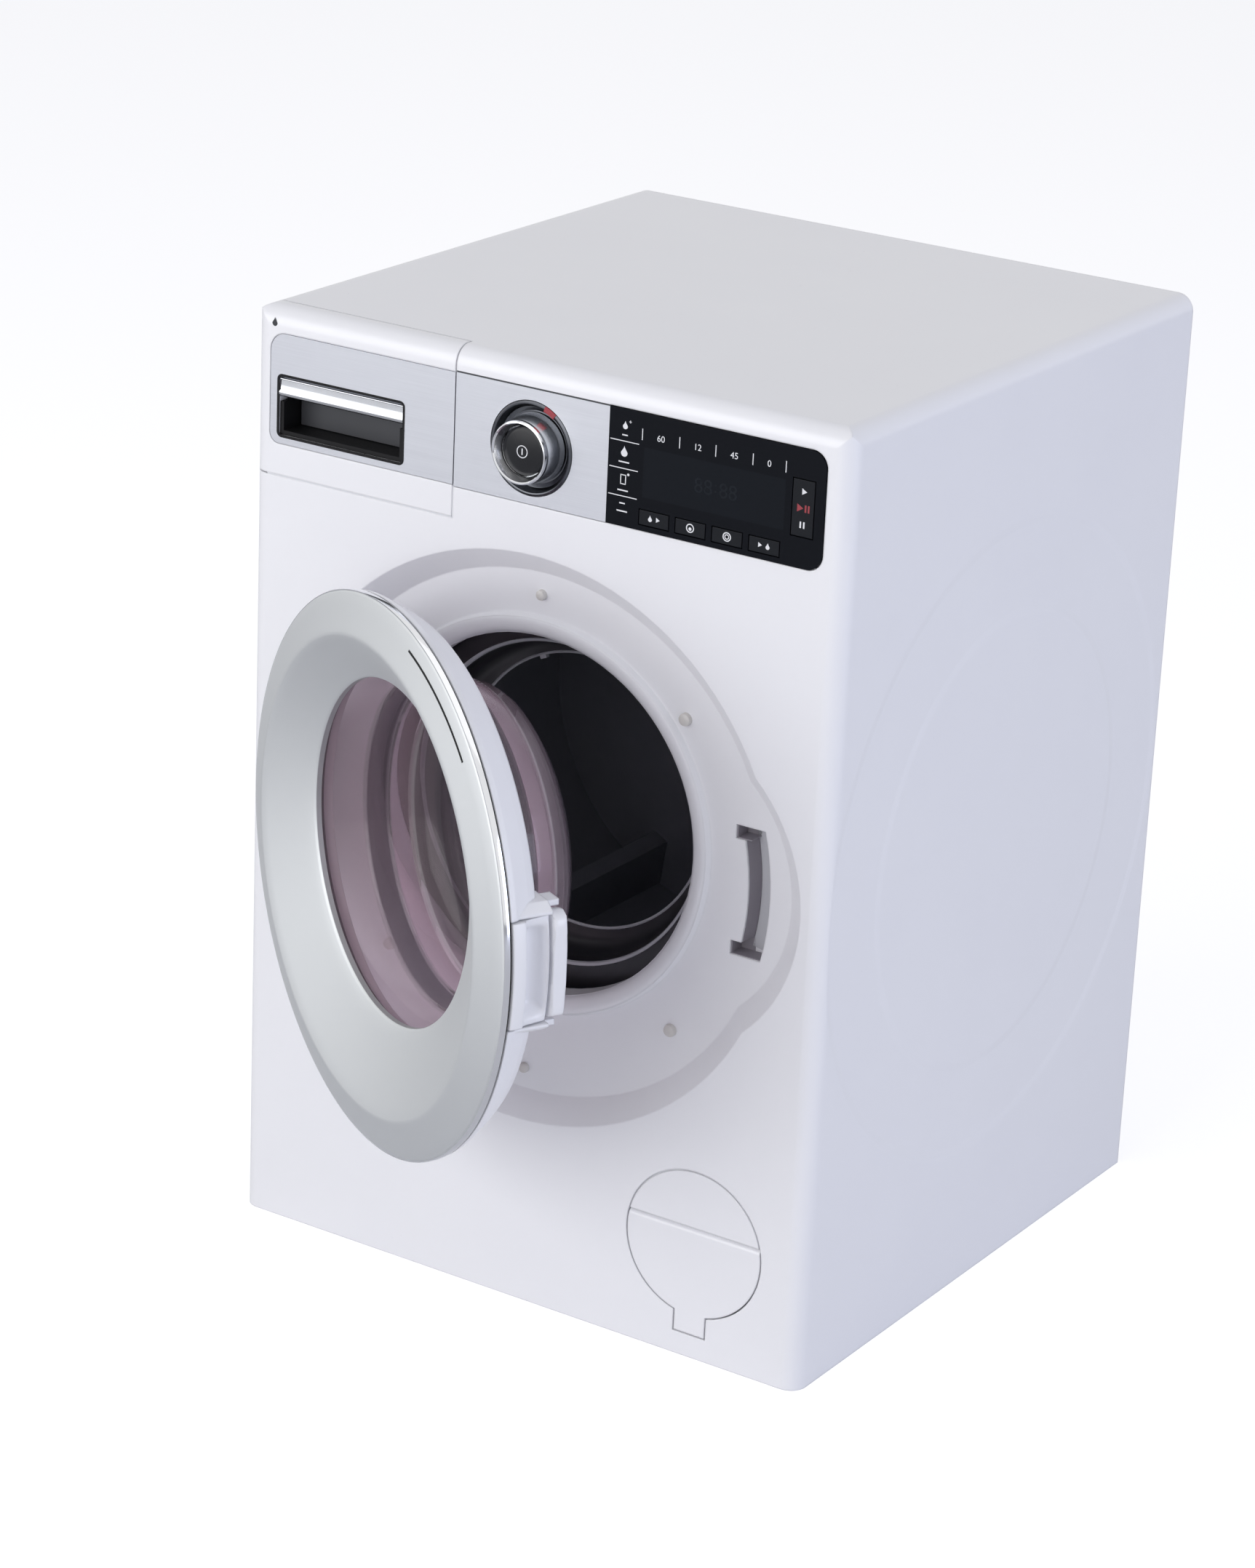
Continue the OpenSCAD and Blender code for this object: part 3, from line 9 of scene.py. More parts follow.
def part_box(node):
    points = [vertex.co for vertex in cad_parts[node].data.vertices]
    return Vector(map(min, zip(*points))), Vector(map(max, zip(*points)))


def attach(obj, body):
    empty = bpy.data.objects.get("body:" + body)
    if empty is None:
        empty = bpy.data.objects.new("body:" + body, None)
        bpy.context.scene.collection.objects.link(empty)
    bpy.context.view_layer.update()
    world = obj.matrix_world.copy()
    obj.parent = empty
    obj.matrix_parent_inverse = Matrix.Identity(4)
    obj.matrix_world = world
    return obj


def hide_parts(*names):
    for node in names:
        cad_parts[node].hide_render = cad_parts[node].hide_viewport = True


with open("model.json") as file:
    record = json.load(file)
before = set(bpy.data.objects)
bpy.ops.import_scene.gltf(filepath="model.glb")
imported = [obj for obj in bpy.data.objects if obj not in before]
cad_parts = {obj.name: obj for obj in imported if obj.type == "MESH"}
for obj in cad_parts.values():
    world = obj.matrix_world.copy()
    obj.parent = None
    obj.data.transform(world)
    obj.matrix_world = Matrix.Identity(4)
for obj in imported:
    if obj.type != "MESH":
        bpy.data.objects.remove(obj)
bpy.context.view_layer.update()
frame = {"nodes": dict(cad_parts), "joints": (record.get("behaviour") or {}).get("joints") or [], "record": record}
print("frame loaded")

mm = 0.001
scene = bpy.context.scene
joints = {joint["name"]: joint for joint in frame["joints"]}

# The cabinet's front plane and the door's place, all taken from the frame
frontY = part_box("housing")[0][1]
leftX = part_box("housing")[0][0]
hinge = Vector(joints["door_hinge"]["pos_m"])
openAngle = math.radians(-joints["door_hinge"]["range_deg"][0])
doorSwing = Matrix.Translation(hinge) @ Matrix.Rotation(-openAngle, 4, "Z") @ Matrix.Translation(-hinge)
door = {"x": -1.6 * mm, "z": 133.8 * mm, "rise": 5.8 * mm}


def linearColour(text, alpha=1.0):
    parts = [int(text[i:i + 2], 16) / 255 for i in (1, 3, 5)]
    return [v / 12.92 if v <= 0.04045 else ((v + 0.055) / 1.055) ** 2.4 for v in parts] + [alpha]


def addNode(tree, kind, settings=None, inputs=None):
    node = tree.nodes.new(kind)
    for name, value in (settings or {}).items():
        setattr(node, name, value)
    for name, value in (inputs or {}).items():
        if isinstance(value, bpy.types.NodeSocket):
            tree.links.new(value, node.inputs[name])
        else:
            node.inputs[name].default_value = value
    return node


def startMaterial(name, shaderInputs):
    material = bpy.data.materials.new(name)
    material.use_nodes = True
    tree = material.node_tree
    tree.nodes.clear()
    shader = addNode(tree, "ShaderNodeBsdfPrincipled", inputs=shaderInputs)
    addNode(tree, "ShaderNodeOutputMaterial", inputs={"Surface": shader.outputs[0]})
    place = addNode(tree, "ShaderNodeTexCoord").outputs["Object"]
    return material, tree, shader, place


# Moulded plastic: even colour with a faint cloudiness, and the tool's fine grain as bump
def mouldedPlastic(name, look):
    material, tree, shader, place = startMaterial(name, {
        "IOR": look.get("ior", 1.53), "Coat Weight": look.get("coat", 0.0),
        "Coat Roughness": 0.08, "Specular IOR Level": look.get("specular", 0.5),
    })
    cloud = addNode(tree, "ShaderNodeTexNoise", inputs={
        "Vector": place, "Scale": 1 / (look.get("cloudMm", 40) * mm), "Detail": 3.0})
    tint = addNode(tree, "ShaderNodeMix", {"data_type": "RGBA"}, {
        "Factor": cloud.outputs["Fac"], 6: linearColour(look["colour"]), 7: linearColour(look["shade"])})
    grain = addNode(tree, "ShaderNodeTexNoise", inputs={
        "Vector": place, "Scale": 1 / (look.get("grainMm", 0.8) * mm), "Detail": 2.0})
    gloss = addNode(tree, "ShaderNodeMapRange", inputs={
        "Value": grain.outputs["Fac"], "To Min": look["rough"] * 0.85, "To Max": look["rough"] * 1.15})
    bump = addNode(tree, "ShaderNodeBump", inputs={
        "Height": grain.outputs["Fac"], "Distance": look.get("grainDepthMm", 0.02) * mm,
        "Strength": look.get("grainStrength", 0.35)})
    if "softEdgeMm" in look:  # the small radius that every moulded edge has
        edge = addNode(tree, "ShaderNodeBevel", {"samples": 6}, {"Radius": look["softEdgeMm"] * mm})
        tree.links.new(edge.outputs[0], bump.inputs["Normal"])
    tree.links.new(tint.outputs[2], shader.inputs["Base Color"])
    tree.links.new(gloss.outputs[0], shader.inputs["Roughness"])
    tree.links.new(bump.outputs[0], shader.inputs["Normal"])
    return material


# Metal or plating: streaks along one direction, from brushing, turning or drawing
def streakedMetal(name, look):
    material, tree, shader, place = startMaterial(name, {"Metallic": 1.0})
    across = look.get("streakMm", 0.25)
    along = look.get("streakLengthMm", across)
    sizes = {"x": (along, across, across), "y": (across, along, across), "z": (across, across, along)}
    stretch = addNode(tree, "ShaderNodeMapping", inputs={
        "Vector": place, "Scale": [1 / (size * mm) for size in sizes[look.get("along", "x")]]})
    streak = addNode(tree, "ShaderNodeTexNoise", inputs={
        "Vector": stretch.outputs[0], "Scale": 1.0, "Detail": 4.0, "Roughness": 0.6})
    tint = addNode(tree, "ShaderNodeMix", {"data_type": "RGBA"}, {
        "Factor": streak.outputs["Fac"], 6: linearColour(look["shade"]), 7: linearColour(look["colour"])})
    gloss = addNode(tree, "ShaderNodeMapRange", inputs={
        "Value": streak.outputs["Fac"], "To Min": look["rough"] * 0.8, "To Max": look["rough"] * 1.2})
    bump = addNode(tree, "ShaderNodeBump", inputs={
        "Height": streak.outputs["Fac"], "Distance": look.get("depthMm", 0.01) * mm,
        "Strength": look.get("strength", 0.3)})
    tree.links.new(tint.outputs[2], shader.inputs["Base Color"])
    tree.links.new(gloss.outputs[0], shader.inputs["Roughness"])
    tree.links.new(bump.outputs[0], shader.inputs["Normal"])
    return material


# Clear styrene: a faint smoky tint, polished, with the slow waves of a thin moulding
def clearStyrene(name, look):
    material, tree, shader, place = startMaterial(name, {
        "Base Color": linearColour(look["colour"]), "Roughness": look["rough"], "IOR": look["ior"],
        "Transmission Weight": look.get("clear", 1.0)})
    wave = addNode(tree, "ShaderNodeTexNoise", inputs={
        "Vector": place, "Scale": 1 / (look["waveMm"] * mm), "Detail": 1.0})
    bump = addNode(tree, "ShaderNodeBump", inputs={
        "Height": wave.outputs["Fac"], "Distance": look["waveDepthMm"] * mm, "Strength": 0.4})
    tree.links.new(bump.outputs[0], shader.inputs["Normal"])
    # painted light: bands of base colour by depth, painted shade and painted highlights in the clear wall
    if "paintedBands" in look:
        swing = doorSwing.inverted()
        turned = addNode(tree, "ShaderNodeMapping", inputs={
            "Vector": place, "Location": swing.translation, "Rotation": swing.to_euler()})
        parts = addNode(tree, "ShaderNodeSeparateXYZ", inputs={"Vector": turned.outputs["Vector"]})
        first, last = look["paintedBands"][0][0], look["paintedBands"][-1][0]
        depth = addNode(tree, "ShaderNodeMapRange", inputs={
            "Value": parts.outputs["Y"], "From Min": frontY + first * mm, "From Max": frontY + last * mm})
        paintedBands = addNode(tree, "ShaderNodeValToRGB", inputs={"Fac": depth.outputs["Result"]})
        ramp = paintedBands.color_ramp
        while len(ramp.elements) > 1:
            ramp.elements.remove(ramp.elements[-1])
        ramp.elements[0].position = 0
        ramp.elements[0].color = linearColour(look["paintedBands"][0][1])
        for y, colour in look["paintedBands"][1:]:
            ramp.elements.new((y - first) / (last - first)).color = linearColour(colour)
        tree.links.new(paintedBands.outputs["Color"], shader.inputs["Base Color"])
    return material


plastics = {
    # glossy injection moulded ABS, a cool white
    "whiteAbs": {"colour": "#F0F0F3", "shade": "#ECECF0", "rough": 0.3, "softEdgeMm": 0.7,
                 "grainStrength": 0.08, "coat": 0.12},
    # plain ABS of the unseen pieces
    "innerAbs": {"colour": "#DADBDF", "shade": "#D2D3D8", "rough": 0.5},
    # black ABS with a fine spark eroded texture; also the black strip of painted shade in the groove of the door's
    # ring
    "mattBlackAbsAndGrooveShade": {"colour": "#141416", "shade": "#0E0E10", "rough": 0.5, "grainMm": 0.4,
                     "specular": 0.2},
    # black acrylic of the display with an anti-glare face, almost without reflections
    "blackAcrylic": {"colour": "#121419", "shade": "#15171C", "rough": 0.22, "grainStrength": 0.02,
                     "specular": 0.06},
    # the keys' caps, a touch greyer than the acrylic round them
    "keyCapAbs": {"colour": "#1E2024", "shade": "#1A1C20", "rough": 0.32, "specular": 0.1,
                  "softEdgeMm": 0.25},
    # black acrylic of the dial's button, polished
    "capAcrylic": {"colour": "#16171A", "shade": "#1B1C20", "rough": 0.2, "grainStrength": 0.02,
                   "specular": 0.3},
    # unlit window of the display, with a blue-black tint
    "unlitWindow": {"colour": "#15181D", "shade": "#181B21", "rough": 0.18, "grainStrength": 0.02,
                    "specular": 0.08},
    # segments of the display that show faintly while it is off
    "unlitSegment": {"colour": "#22262C", "shade": "#1F2329", "rough": 0.3, "specular": 0.08},
    # dark grey ABS plate at the back of the drawer's grip; also the painted shadow line over the strip
    "greyGripAbsAndGapShadow": {"colour": "#47484C", "shade": "#3E3F43", "rough": 0.38, "specular": 0.3},
    # circuit board under green solder mask
    "solderMask": {"colour": "#1D5A38", "shade": "#174C2E", "rough": 0.35},
    # black EPDM seal, soft and dull; also the black ring of painted shade in the gap behind the door's rim
    "epdmRubberAndGapShade": {"colour": "#1C1C1E", "shade": "#242426", "rough": 0.75, "grainMm": 0.5},
    # grey polypropylene tub
    "greyPolypropylene": {"colour": "#5E6168", "shade": "#54575E", "rough": 0.5},
    # unfilled acetal, waxy and slightly yellow
    "acetal": {"colour": "#E6E1D2", "shade": "#DED8C8", "rough": 0.4},
    # PVC shrink wrap of the cells
    "shrinkWrap": {"colour": "#3C4046", "shade": "#34373D", "rough": 0.25},
    # soft wire sleeve
    "wireSleeve": {"colour": "#9E2328", "shade": "#8A1E22", "rough": 0.5},
    # white ink of the printed marks
    "whiteInk": {"colour": "#E8E9EC", "shade": "#DADBDF", "rough": 0.45},
    # red ink of the printed marks
    "redInk": {"colour": "#98303A", "shade": "#86262F", "rough": 0.45},
    # black ink of the printed mark on the drawer
    "blackInk": {"colour": "#202228", "shade": "#2A2C32", "rough": 0.5},
    # pearl grey ABS of the drum, moulded with a soft shine
    "drumAbs": {"colour": "#8A8D95", "shade": "#7C7F87", "rough": 0.32, "coat": 0.2},
    # the drum's mouth painted dark grey as painted shade for the cavity behind the door, and its beads painted pale
    # along its edges as a painted highlight
    "mouthPaintedShade": {"colour": "#2C2B30", "shade": "#242328", "rough": 0.35, "coat": 0.15},
    "mouthBeadPaintedHighlight": {"colour": "#C4C6CB", "shade": "#B4B6BB", "rough": 0.3, "coat": 0.2},
    # painted shade in the latch's slot: grey sheets on its walls, and a paler painted shade on its bottom
    "slotPaintedShade": {"colour": "#97929A", "shade": "#8B868E", "rough": 0.5},
    "slotBottomPaintedShade": {"colour": "#CBCBD0", "shade": "#C2C2C7", "rough": 0.5},
    # light grey ABS that closes the drawer's seams behind the front face
    "seamAbs": {"colour": "#E2E3E8", "shade": "#DADBE0", "rough": 0.5},
    # soft grey buffers on the pegs of the well
    "bufferRubber": {"colour": "#D8D5D2", "shade": "#CCC8C4", "rough": 0.45},
    # black seal between the tub and the housing, out of the light
    "sealRubber": {"colour": "#0A0A0B", "shade": "#0E0E0F", "rough": 0.8, "specular": 0.2},
}
metals = {
    # aluminium film brushed from left to right
    "brushedAluminiumFilm": {"colour": "#D4D6DC", "shade": "#C3C5CC", "rough": 0.42, "streakMm": 0.3,
                             "streakLengthMm": 24, "along": "x", "strength": 0.22},
    # chrome plate over polished ABS
    "chromePlate": {"colour": "#E6E7EA", "shade": "#DCDDE0", "rough": 0.1, "streakMm": 4, "strength": 0.02},
    # dark satin plate of the dial's bezel
    "darkPlate": {"colour": "#66686D", "shade": "#585A5F", "rough": 0.24, "streakMm": 3, "strength": 0.03},
    # chrome foil of the drawer's bar, with slow changes along its length
    "barChrome": {"colour": "#D3D5D8", "shade": "#AAACB0", "rough": 0.16, "streakMm": 12,
                  "streakLengthMm": 26, "along": "x", "strength": 0.01},
    # satin chrome of the knob
    "satinChrome": {"colour": "#E6E8EB", "shade": "#DBDDE0", "rough": 0.2, "streakMm": 0.6,
                    "strength": 0.04},
    # satin silver lacquer sprayed over ABS, with a fine metallic flake
    "silverLacquer": {"colour": "#D4D6D8", "shade": "#CACDCF", "rough": 0.58, "streakMm": 0.4,
                      "strength": 0.05},
    # zinc plated screw steel
    "zincSteel": {"colour": "#B9BCC0", "shade": "#A3A6AB", "rough": 0.3, "streakMm": 0.6, "strength": 0.1},
    # the unlit bottom of a screw's cross
    "darkSteel": {"colour": "#2A2B2E", "shade": "#202124", "rough": 0.5, "streakMm": 0.6, "strength": 0.1},
    # drawn steel can of the motor
    "drawnSteel": {"colour": "#ADB0B4", "shade": "#9A9DA2", "rough": 0.28, "streakMm": 0.5,
                   "streakLengthMm": 12, "along": "y"},
    # turned brass bush
    "turnedBrass": {"colour": "#C7A862", "shade": "#B3934E", "rough": 0.3, "streakMm": 0.3,
                    "streakLengthMm": 0.3},
}
finishes = {name: mouldedPlastic(name, look) for name, look in plastics.items()}
finishes.update({name: streakedMetal(name, look) for name, look in metals.items()})
finishes["smokedStyrene"] = clearStyrene("smokedStyrene", {
    "colour": "#DED4DA", "rough": 0.03, "ior": 1.3, "waveMm": 14, "waveDepthMm": 0.3})
# the same smoky styrene with painted bands by depth behind the front face (depth in mm, colour): the dark bands are
# painted shade of the shaded well and mouth seen through the bowl, the palest band a painted highlight, all set at
# the steps of the bowl's wall
finishes["styreneWithPaintedBands"] = clearStyrene("styreneWithPaintedBands", {
    "colour": "#DED4DA", "rough": 0.03, "ior": 1.3, "waveMm": 14, "waveDepthMm": 0.3, "clear": 0.78,
    "paintedBands": [(-2.1, "#E6D6DE"), (10.0, "#DCCBD4"), (10.5, "#A0949C"), (16.1, "#978B94"),
              (16.7, "#E9D3DF"), (21.9, "#D4BEC9"), (22.2, "#F9F1F5"), (22.7, "#F9F1F5"),
              (23.0, "#B7A7B0"), (27.3, "#9D8F98"), (28.0, "#837982"), (31.0, "#837982")]})

# Which finish each of the record's material slots gets, and the nodes that differ from their slot
slotFinishes = {
    "housing_plastic": "whiteAbs", "inner_plastic": "innerAbs", "screw_steel": "zincSteel",
    "brushed_sheet": "brushedAluminiumFilm", "chrome_trim": "chromePlate", "dark_chrome": "darkPlate",
    "black_plastic": "mattBlackAbsAndGrooveShade", "display_plastic": "blackAcrylic", "board_green": "solderMask",
    "silver_paint": "silverLacquer", "clear_plastic": "smokedStyrene", "seal_rubber": "epdmRubberAndGapShade",
    "tub_plastic": "greyPolypropylene", "bush_brass": "turnedBrass", "drum_plastic": "drumAbs",
    "gear_plastic": "acetal", "motor_steel": "drawnSteel", "cell_wrap": "shrinkWrap",
    "wire_rubber": "wireSleeve",
}
nodeFinishes = {"dial_knob": "satinChrome", "start_key": "keyCapAbs", "door_seal": "sealRubber"}
nodeFinishes.update({f"programme_key_{i}": "keyCapAbs" for i in (1, 2, 3, 4)})
for part in frame["record"]["subparts"]:
    node = frame["nodes"][part["node"]]
    finish = nodeFinishes.get(part["node"], slotFinishes[part["material_slot"]])
    node.data.materials.clear()
    node.data.materials.append(finishes[finish])
print("materials on the frame's nodes")


def finishPiece(name, bm, finish, body, replaced=(), sharpDegrees=35):
    bmesh.ops.recalc_face_normals(bm, faces=bm.faces)
    mesh = bpy.data.meshes.new(name)
    bm.to_mesh(mesh)
    bm.free()
    mesh.materials.append(finishes[finish])
    mesh.shade_smooth()
    mesh.set_sharp_from_angle(angle=math.radians(sharpDegrees))
    piece = bpy.data.objects.new(name, mesh)
    scene.collection.objects.link(piece)
    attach(piece, body)
    if replaced:
        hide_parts(*replaced)
    return piece


# Lofts rings of (radius, depth behind the front face, rise) in mm about the door's middle
def loftRings(bm, rings, middle, segments, closed):
    radius, depth, rise = rings[0]
    place = Matrix.Translation((middle[0], frontY + depth * mm, middle[1] + rise * mm)) \
        @ Matrix.Rotation(math.pi / 2, 4, "X")
    made = bmesh.ops.create_circle(bm, cap_ends=False, segments=segments, radius=radius * mm,
                                   matrix=place)["verts"]
    firstEdges = list({edge for vert in made for edge in vert.link_edges})
    edges = firstEdges
    for before, after in zip(rings, rings[1:]):
        grown = bmesh.ops.extrude_edge_only(bm, edges=edges)["geom"]
        verts = [item for item in grown if isinstance(item, bmesh.types.BMVert)]
        members = set(verts)
        edges = [item for item in grown if isinstance(item, bmesh.types.BMEdge)
                 and members.issuperset(item.verts)]
        centre = Vector((middle[0], frontY + before[1] * mm, middle[1] + before[2] * mm))
        ratio = after[0] / before[0]
        bmesh.ops.scale(bm, verts=verts, vec=(ratio, 1, ratio), space=Matrix.Translation(-centre))
        bmesh.ops.translate(bm, verts=verts, vec=(
            0, (after[1] - before[1]) * mm, (after[2] - before[2]) * mm))
    if closed:
        bmesh.ops.bridge_loops(bm, edges=firstEdges + edges)
    else:
        bmesh.ops.holes_fill(bm, edges=firstEdges + edges)


# Sweeps a closed outline of (radius, depth) in mm round the line through the middle
def sweepArc(bm, outline, middle, fromDegrees, toDegrees, steps):
    verts = [bm.verts.new((middle[0] + r * mm, frontY + depth * mm, middle[1])) for r, depth in outline]
    face = bm.faces.new(verts)
    centre = Vector((middle[0], 0, middle[1]))
    bmesh.ops.rotate(bm, verts=verts, cent=centre,
                     matrix=Matrix.Rotation(-math.radians(fromDegrees), 3, "Y"))
    bmesh.ops.spin(bm, geom=verts + list(face.edges) + [face], cent=centre, axis=(0, -1, 0),
                   angle=math.radians(toDegrees - fromDegrees), steps=steps, use_merge=False)


# Front ring of the door: flat sloping band, crisp crest, dish that dips to the raised window
ringLook = {
    "segments": 160,
    "band": [(70.8, -7.2, 0), (74.9, -7.2, 0), (74.9, -8.3, 0), (74.6, -8.65, 0), (74.2, -8.85, 0),
             (71, -9.82, 0), (68, -10.73, 0), (65.2, -11.6, 0), (64.5, -11.8, 0), (63.9, -11.88, 0)],
    "crest": (63.4, -11.8), "window": (46.9, -4.35),
    "edge": [(46.35, -4.05, 5.8), (46.1, -3.7, 5.8), (46.1, -2.2, 5.8), (48.9, -2.2, 5.8)],
    "inner": [(65.3, -10.2, 0), (67.5, -9.2, 0), (70.8, -8.2, 0)],
    "dishSteps": 8,
    "rim": [(74.3, -7.0), (75.2, -7.0), (75.2, -8.1), (75.05, -8.45), (74.8, -8.5), (74.3, -8.0)],
    # painted shade: a black ring in the gap behind the rim
    "gapShade": [(72.6, -7.15), (74.3, -7.15), (74.3, -6.25), (72.6, -6.25)],
    # the groove: a black strip on the band, painted shade for the slit
    "groove": [(70.95, -9.9), (71.5, -9.73), (71.5, -9.3), (70.95, -9.3)], "grooveFrom": 44, "grooveTo": 74,
}


def doorRing(look):
    middle = (door["x"], door["z"])
    bm = bmesh.new()
    (r0, y0), (r1, y1) = look["crest"], look["window"]
    steps = [i / look["dishSteps"] for i in range(look["dishSteps"] + 1)]
    dish = [(r0 + (r1 - r0) * t, y0 + (y1 - y0) * t, 5.8 * t) for t in steps]
    loftRings(bm, look["band"] + dish + look["edge"] + look["inner"], middle, look["segments"], True)
    bmesh.ops.transform(bm, matrix=doorSwing, verts=bm.verts)
    finishPiece("doorSilverRing", bm, "silverLacquer", "door", ["door_front_ring"], 30)
    # the rim in chrome, and a black ring of painted shade in the gap behind it
    for name, finish, slot in (("rim", "chromePlate", "chrome_trim"), ("gapShade", "epdmRubberAndGapShade", "seal_rubber")):
        bm = bmesh.new()
        loftRings(bm, [(r, y, 0) for r, y in look[name]], middle, look["segments"], True)
        bmesh.ops.transform(bm, matrix=doorSwing, verts=bm.verts)
        finishPiece("doorRing" + name.capitalize(), bm, finish, "door")
    # the groove's slit and its hook as a black strip of painted shade
    bm = bmesh.new()
    sweepArc(bm, look["groove"], middle, look["grooveFrom"], look["grooveTo"], 24)
    hook = [(r - 0.35, depth) for r, depth in look["groove"]]
    sweepArc(bm, hook, middle, look["grooveTo"] - 0.2, look["grooveTo"] + 0.9, 2)
    bmesh.ops.transform(bm, matrix=doorSwing, verts=bm.verts)
    finishPiece("doorRingGrooveShade", bm, "mattBlackAbsAndGrooveShade", "door")


doorRing(ringLook)
print("door ring")

# Clear bowl with moulded steps in its wall, from its inner middle over the flange to its outer middle
bowlLook = {
    "rings": [(0.1, 29.1), (32.8, 29.1), (34.6, 28.9), (36.8, 28.1), (39.2, 26.3), (40.4, 24.6),
              (41.0, 22.1), (41.7, 21.4), (42.5, 16.4), (43.3, 15.6), (44.2, 10.4), (45.0, 9.6),
              (47.1, -2.1), (51.5, -2.1), (51.5, -0.5), (48.6, -0.5), (46.6, 10.0), (45.8, 10.8),
              (44.9, 16.0), (44.0, 16.8), (43.3, 21.8), (42.6, 22.6), (42.0, 25.2), (40.6, 27.4),
              (37.6, 29.6), (35.0, 30.5), (33.0, 30.7), (0.1, 30.7)],
    "segments": 144,
}


def clearBowl(look):
    bm = bmesh.new()
    loftRings(bm, [(r, y, 0) for r, y in look["rings"]], (door["x"], door["z"] + door["rise"]),
              look["segments"], False)
    bmesh.ops.transform(bm, matrix=doorSwing, verts=bm.verts)
    finishPiece("doorClearBowl", bm, "styreneWithPaintedBands", "door", ["door_bowl"])


clearBowl(bowlLook)
print("clear bowl")

# Mouth ring of the drum, with the curved lip that runs in behind the shut door's bowl
drumLook = {
    "rings": [(47.4, 19.8), (60.6, 19.8), (61.1, 23.8), (62.9, 23.8), (62.9, 20.8), (65.0, 20.8),
              (61, 17.8), (46.4, 17.8), (45.3, 18.0), (44.9, 18.6), (44.8, 22), (44.4, 25), (43.2, 27.4),
              (41.2, 29.2), (39.2, 30.1), (38.8, 30.5), (38.8, 31.4), (39.3, 31.9), (41.8, 31.2),
              (44.6, 28.8), (46.1, 25.4), (46.5, 21.8)],
    "beads": [[(45.7, 17.7), (45.0, 17.95), (44.7, 18.5), (45.1, 19.0), (46.0, 18.4)],
              [(38.5, 30.3), (38.9, 29.9), (39.5, 30.2), (39.3, 31.0), (38.7, 31.0)]],
    "segments": 128, "catch": (112, 115),
}


def drumMouth(look):
    middle = (door["x"], door["z"] + door["rise"])
    bm = bmesh.new()
    loftRings(bm, [(r, y, 0) for r, y in look["rings"]], middle, look["segments"], True)
    # the mouth ring is painted dark: painted shade of the cavity
    finishPiece("drumMouthLip", bm, "mouthPaintedShade", "drum", ["drum_mouth_ring"])
    bm = bmesh.new()
    for bead in look["beads"]:
        loftRings(bm, [(r, y, 0) for r, y in bead], middle, look["segments"], True)
    sweepArc(bm, [(37.6, 30.2), (38.8, 30.2), (38.8, 31.6), (37.6, 31.6)], middle, *look["catch"], 3)
    # the beads and the catch are painted pale: a painted highlight on the mouth's edges
    finishPiece("drumMouthBeads", bm, "mouthBeadPaintedHighlight", "drum")


drumMouth(drumLook)
print("drum mouth")


# Flat marks are drawn in mm, x to the right and y up, then thickened and stood on a face
def drawDisc(bm, x, y, radius, hole=0.0, segments=24):
    verts = bmesh.ops.create_circle(bm, cap_ends=True, segments=segments, radius=radius,
                                    matrix=Matrix.Translation((x, y, 0)))["verts"]
    if hole:
        face = verts[0].link_faces[0]
        bmesh.ops.inset_individual(bm, faces=[face], thickness=radius - hole, use_even_offset=True)
        bmesh.ops.delete(bm, geom=[face], context="FACES_ONLY")
    return verts


def drawBar(bm, x, y, width, height, turn=0.0):
    place = Matrix.Translation((x, y, 0)) @ Matrix.Rotation(math.radians(turn), 4, "Z") \
        @ Matrix.Diagonal((width, height, 1, 1))
    return bmesh.ops.create_grid(bm, x_segments=1, y_segments=1, size=0.5, matrix=place)["verts"]


def drawDrop(bm, x, y, radius):
    for vert in drawDisc(bm, x, y, radius):  # the upper half runs to a point
        up = max(0.0, (vert.co.y - y) / radius)
        vert.co.x = x + (vert.co.x - x) * (1 - 0.95 * up ** 2)
        vert.co.y += radius * 0.9 * up ** 3


def drawTriangle(bm, x, y, radius):  # points to the right
    bmesh.ops.create_circle(bm, cap_ends=True, segments=3, radius=radius,
                            matrix=Matrix.Translation((x, y, 0)) @ Matrix.Rotation(-math.pi / 2, 4, "Z"))


def drawDigits(bm, words, x, y, height):
    curve = bpy.data.curves.new("digits", "FONT")
    curve.body = words
    curve.size = height * 1.4
    curve.align_x = "CENTER"
    holder = bpy.data.objects.new("digits", curve)
    flat = bpy.data.meshes.new_from_object(holder)
    flat.transform(Matrix.Translation((x, y - height / 2, 0)))
    bm.from_mesh(flat)
    bpy.data.objects.remove(holder)
    bpy.data.curves.remove(curve)
    bpy.data.meshes.remove(flat)


# Stands the drawn marks on a plane that faces the front, or the rear with facing=-1
def printMarks(name, bm, depth, finish, body, facing=1, thick=0.05, proud=0.02):
    bmesh.ops.solidify(bm, geom=bm.faces[:], thickness=thick)
    low = min(vert.co.z for vert in bm.verts)
    place = Matrix.Translation((0, depth, 0)) @ Matrix.Rotation(0 if facing == 1 else math.pi, 4, "Z") \
        @ Matrix.Rotation(math.pi / 2, 4, "X") @ Matrix.Scale(mm, 4) @ Matrix.Translation((0, 0, proud - thick - low))
    bmesh.ops.transform(bm, matrix=place, verts=bm.verts)
    return finishPiece(name, bm, finish, body)


# Marks of the display: generic signs and plain numbers in place of words
displayLook = {
    "leftLines": [250.0, 242.8, 235.5], "leftFrom": 21.9, "leftTo": 30.6,
    "ticks": [31.5, 42.7, 53.5, 64.5, 74.2], "tickFrom": 251.3, "tickTo": 254.3,
    "numbers": [("60", 37.1), ("12", 48.1), ("45", 59.0), ("0", 69.3)], "numberZ": 252.7, "numberHeight": 1.7,
    "window": (32.2, 74.4, 236.4, 249.6), "line": 0.24,
}


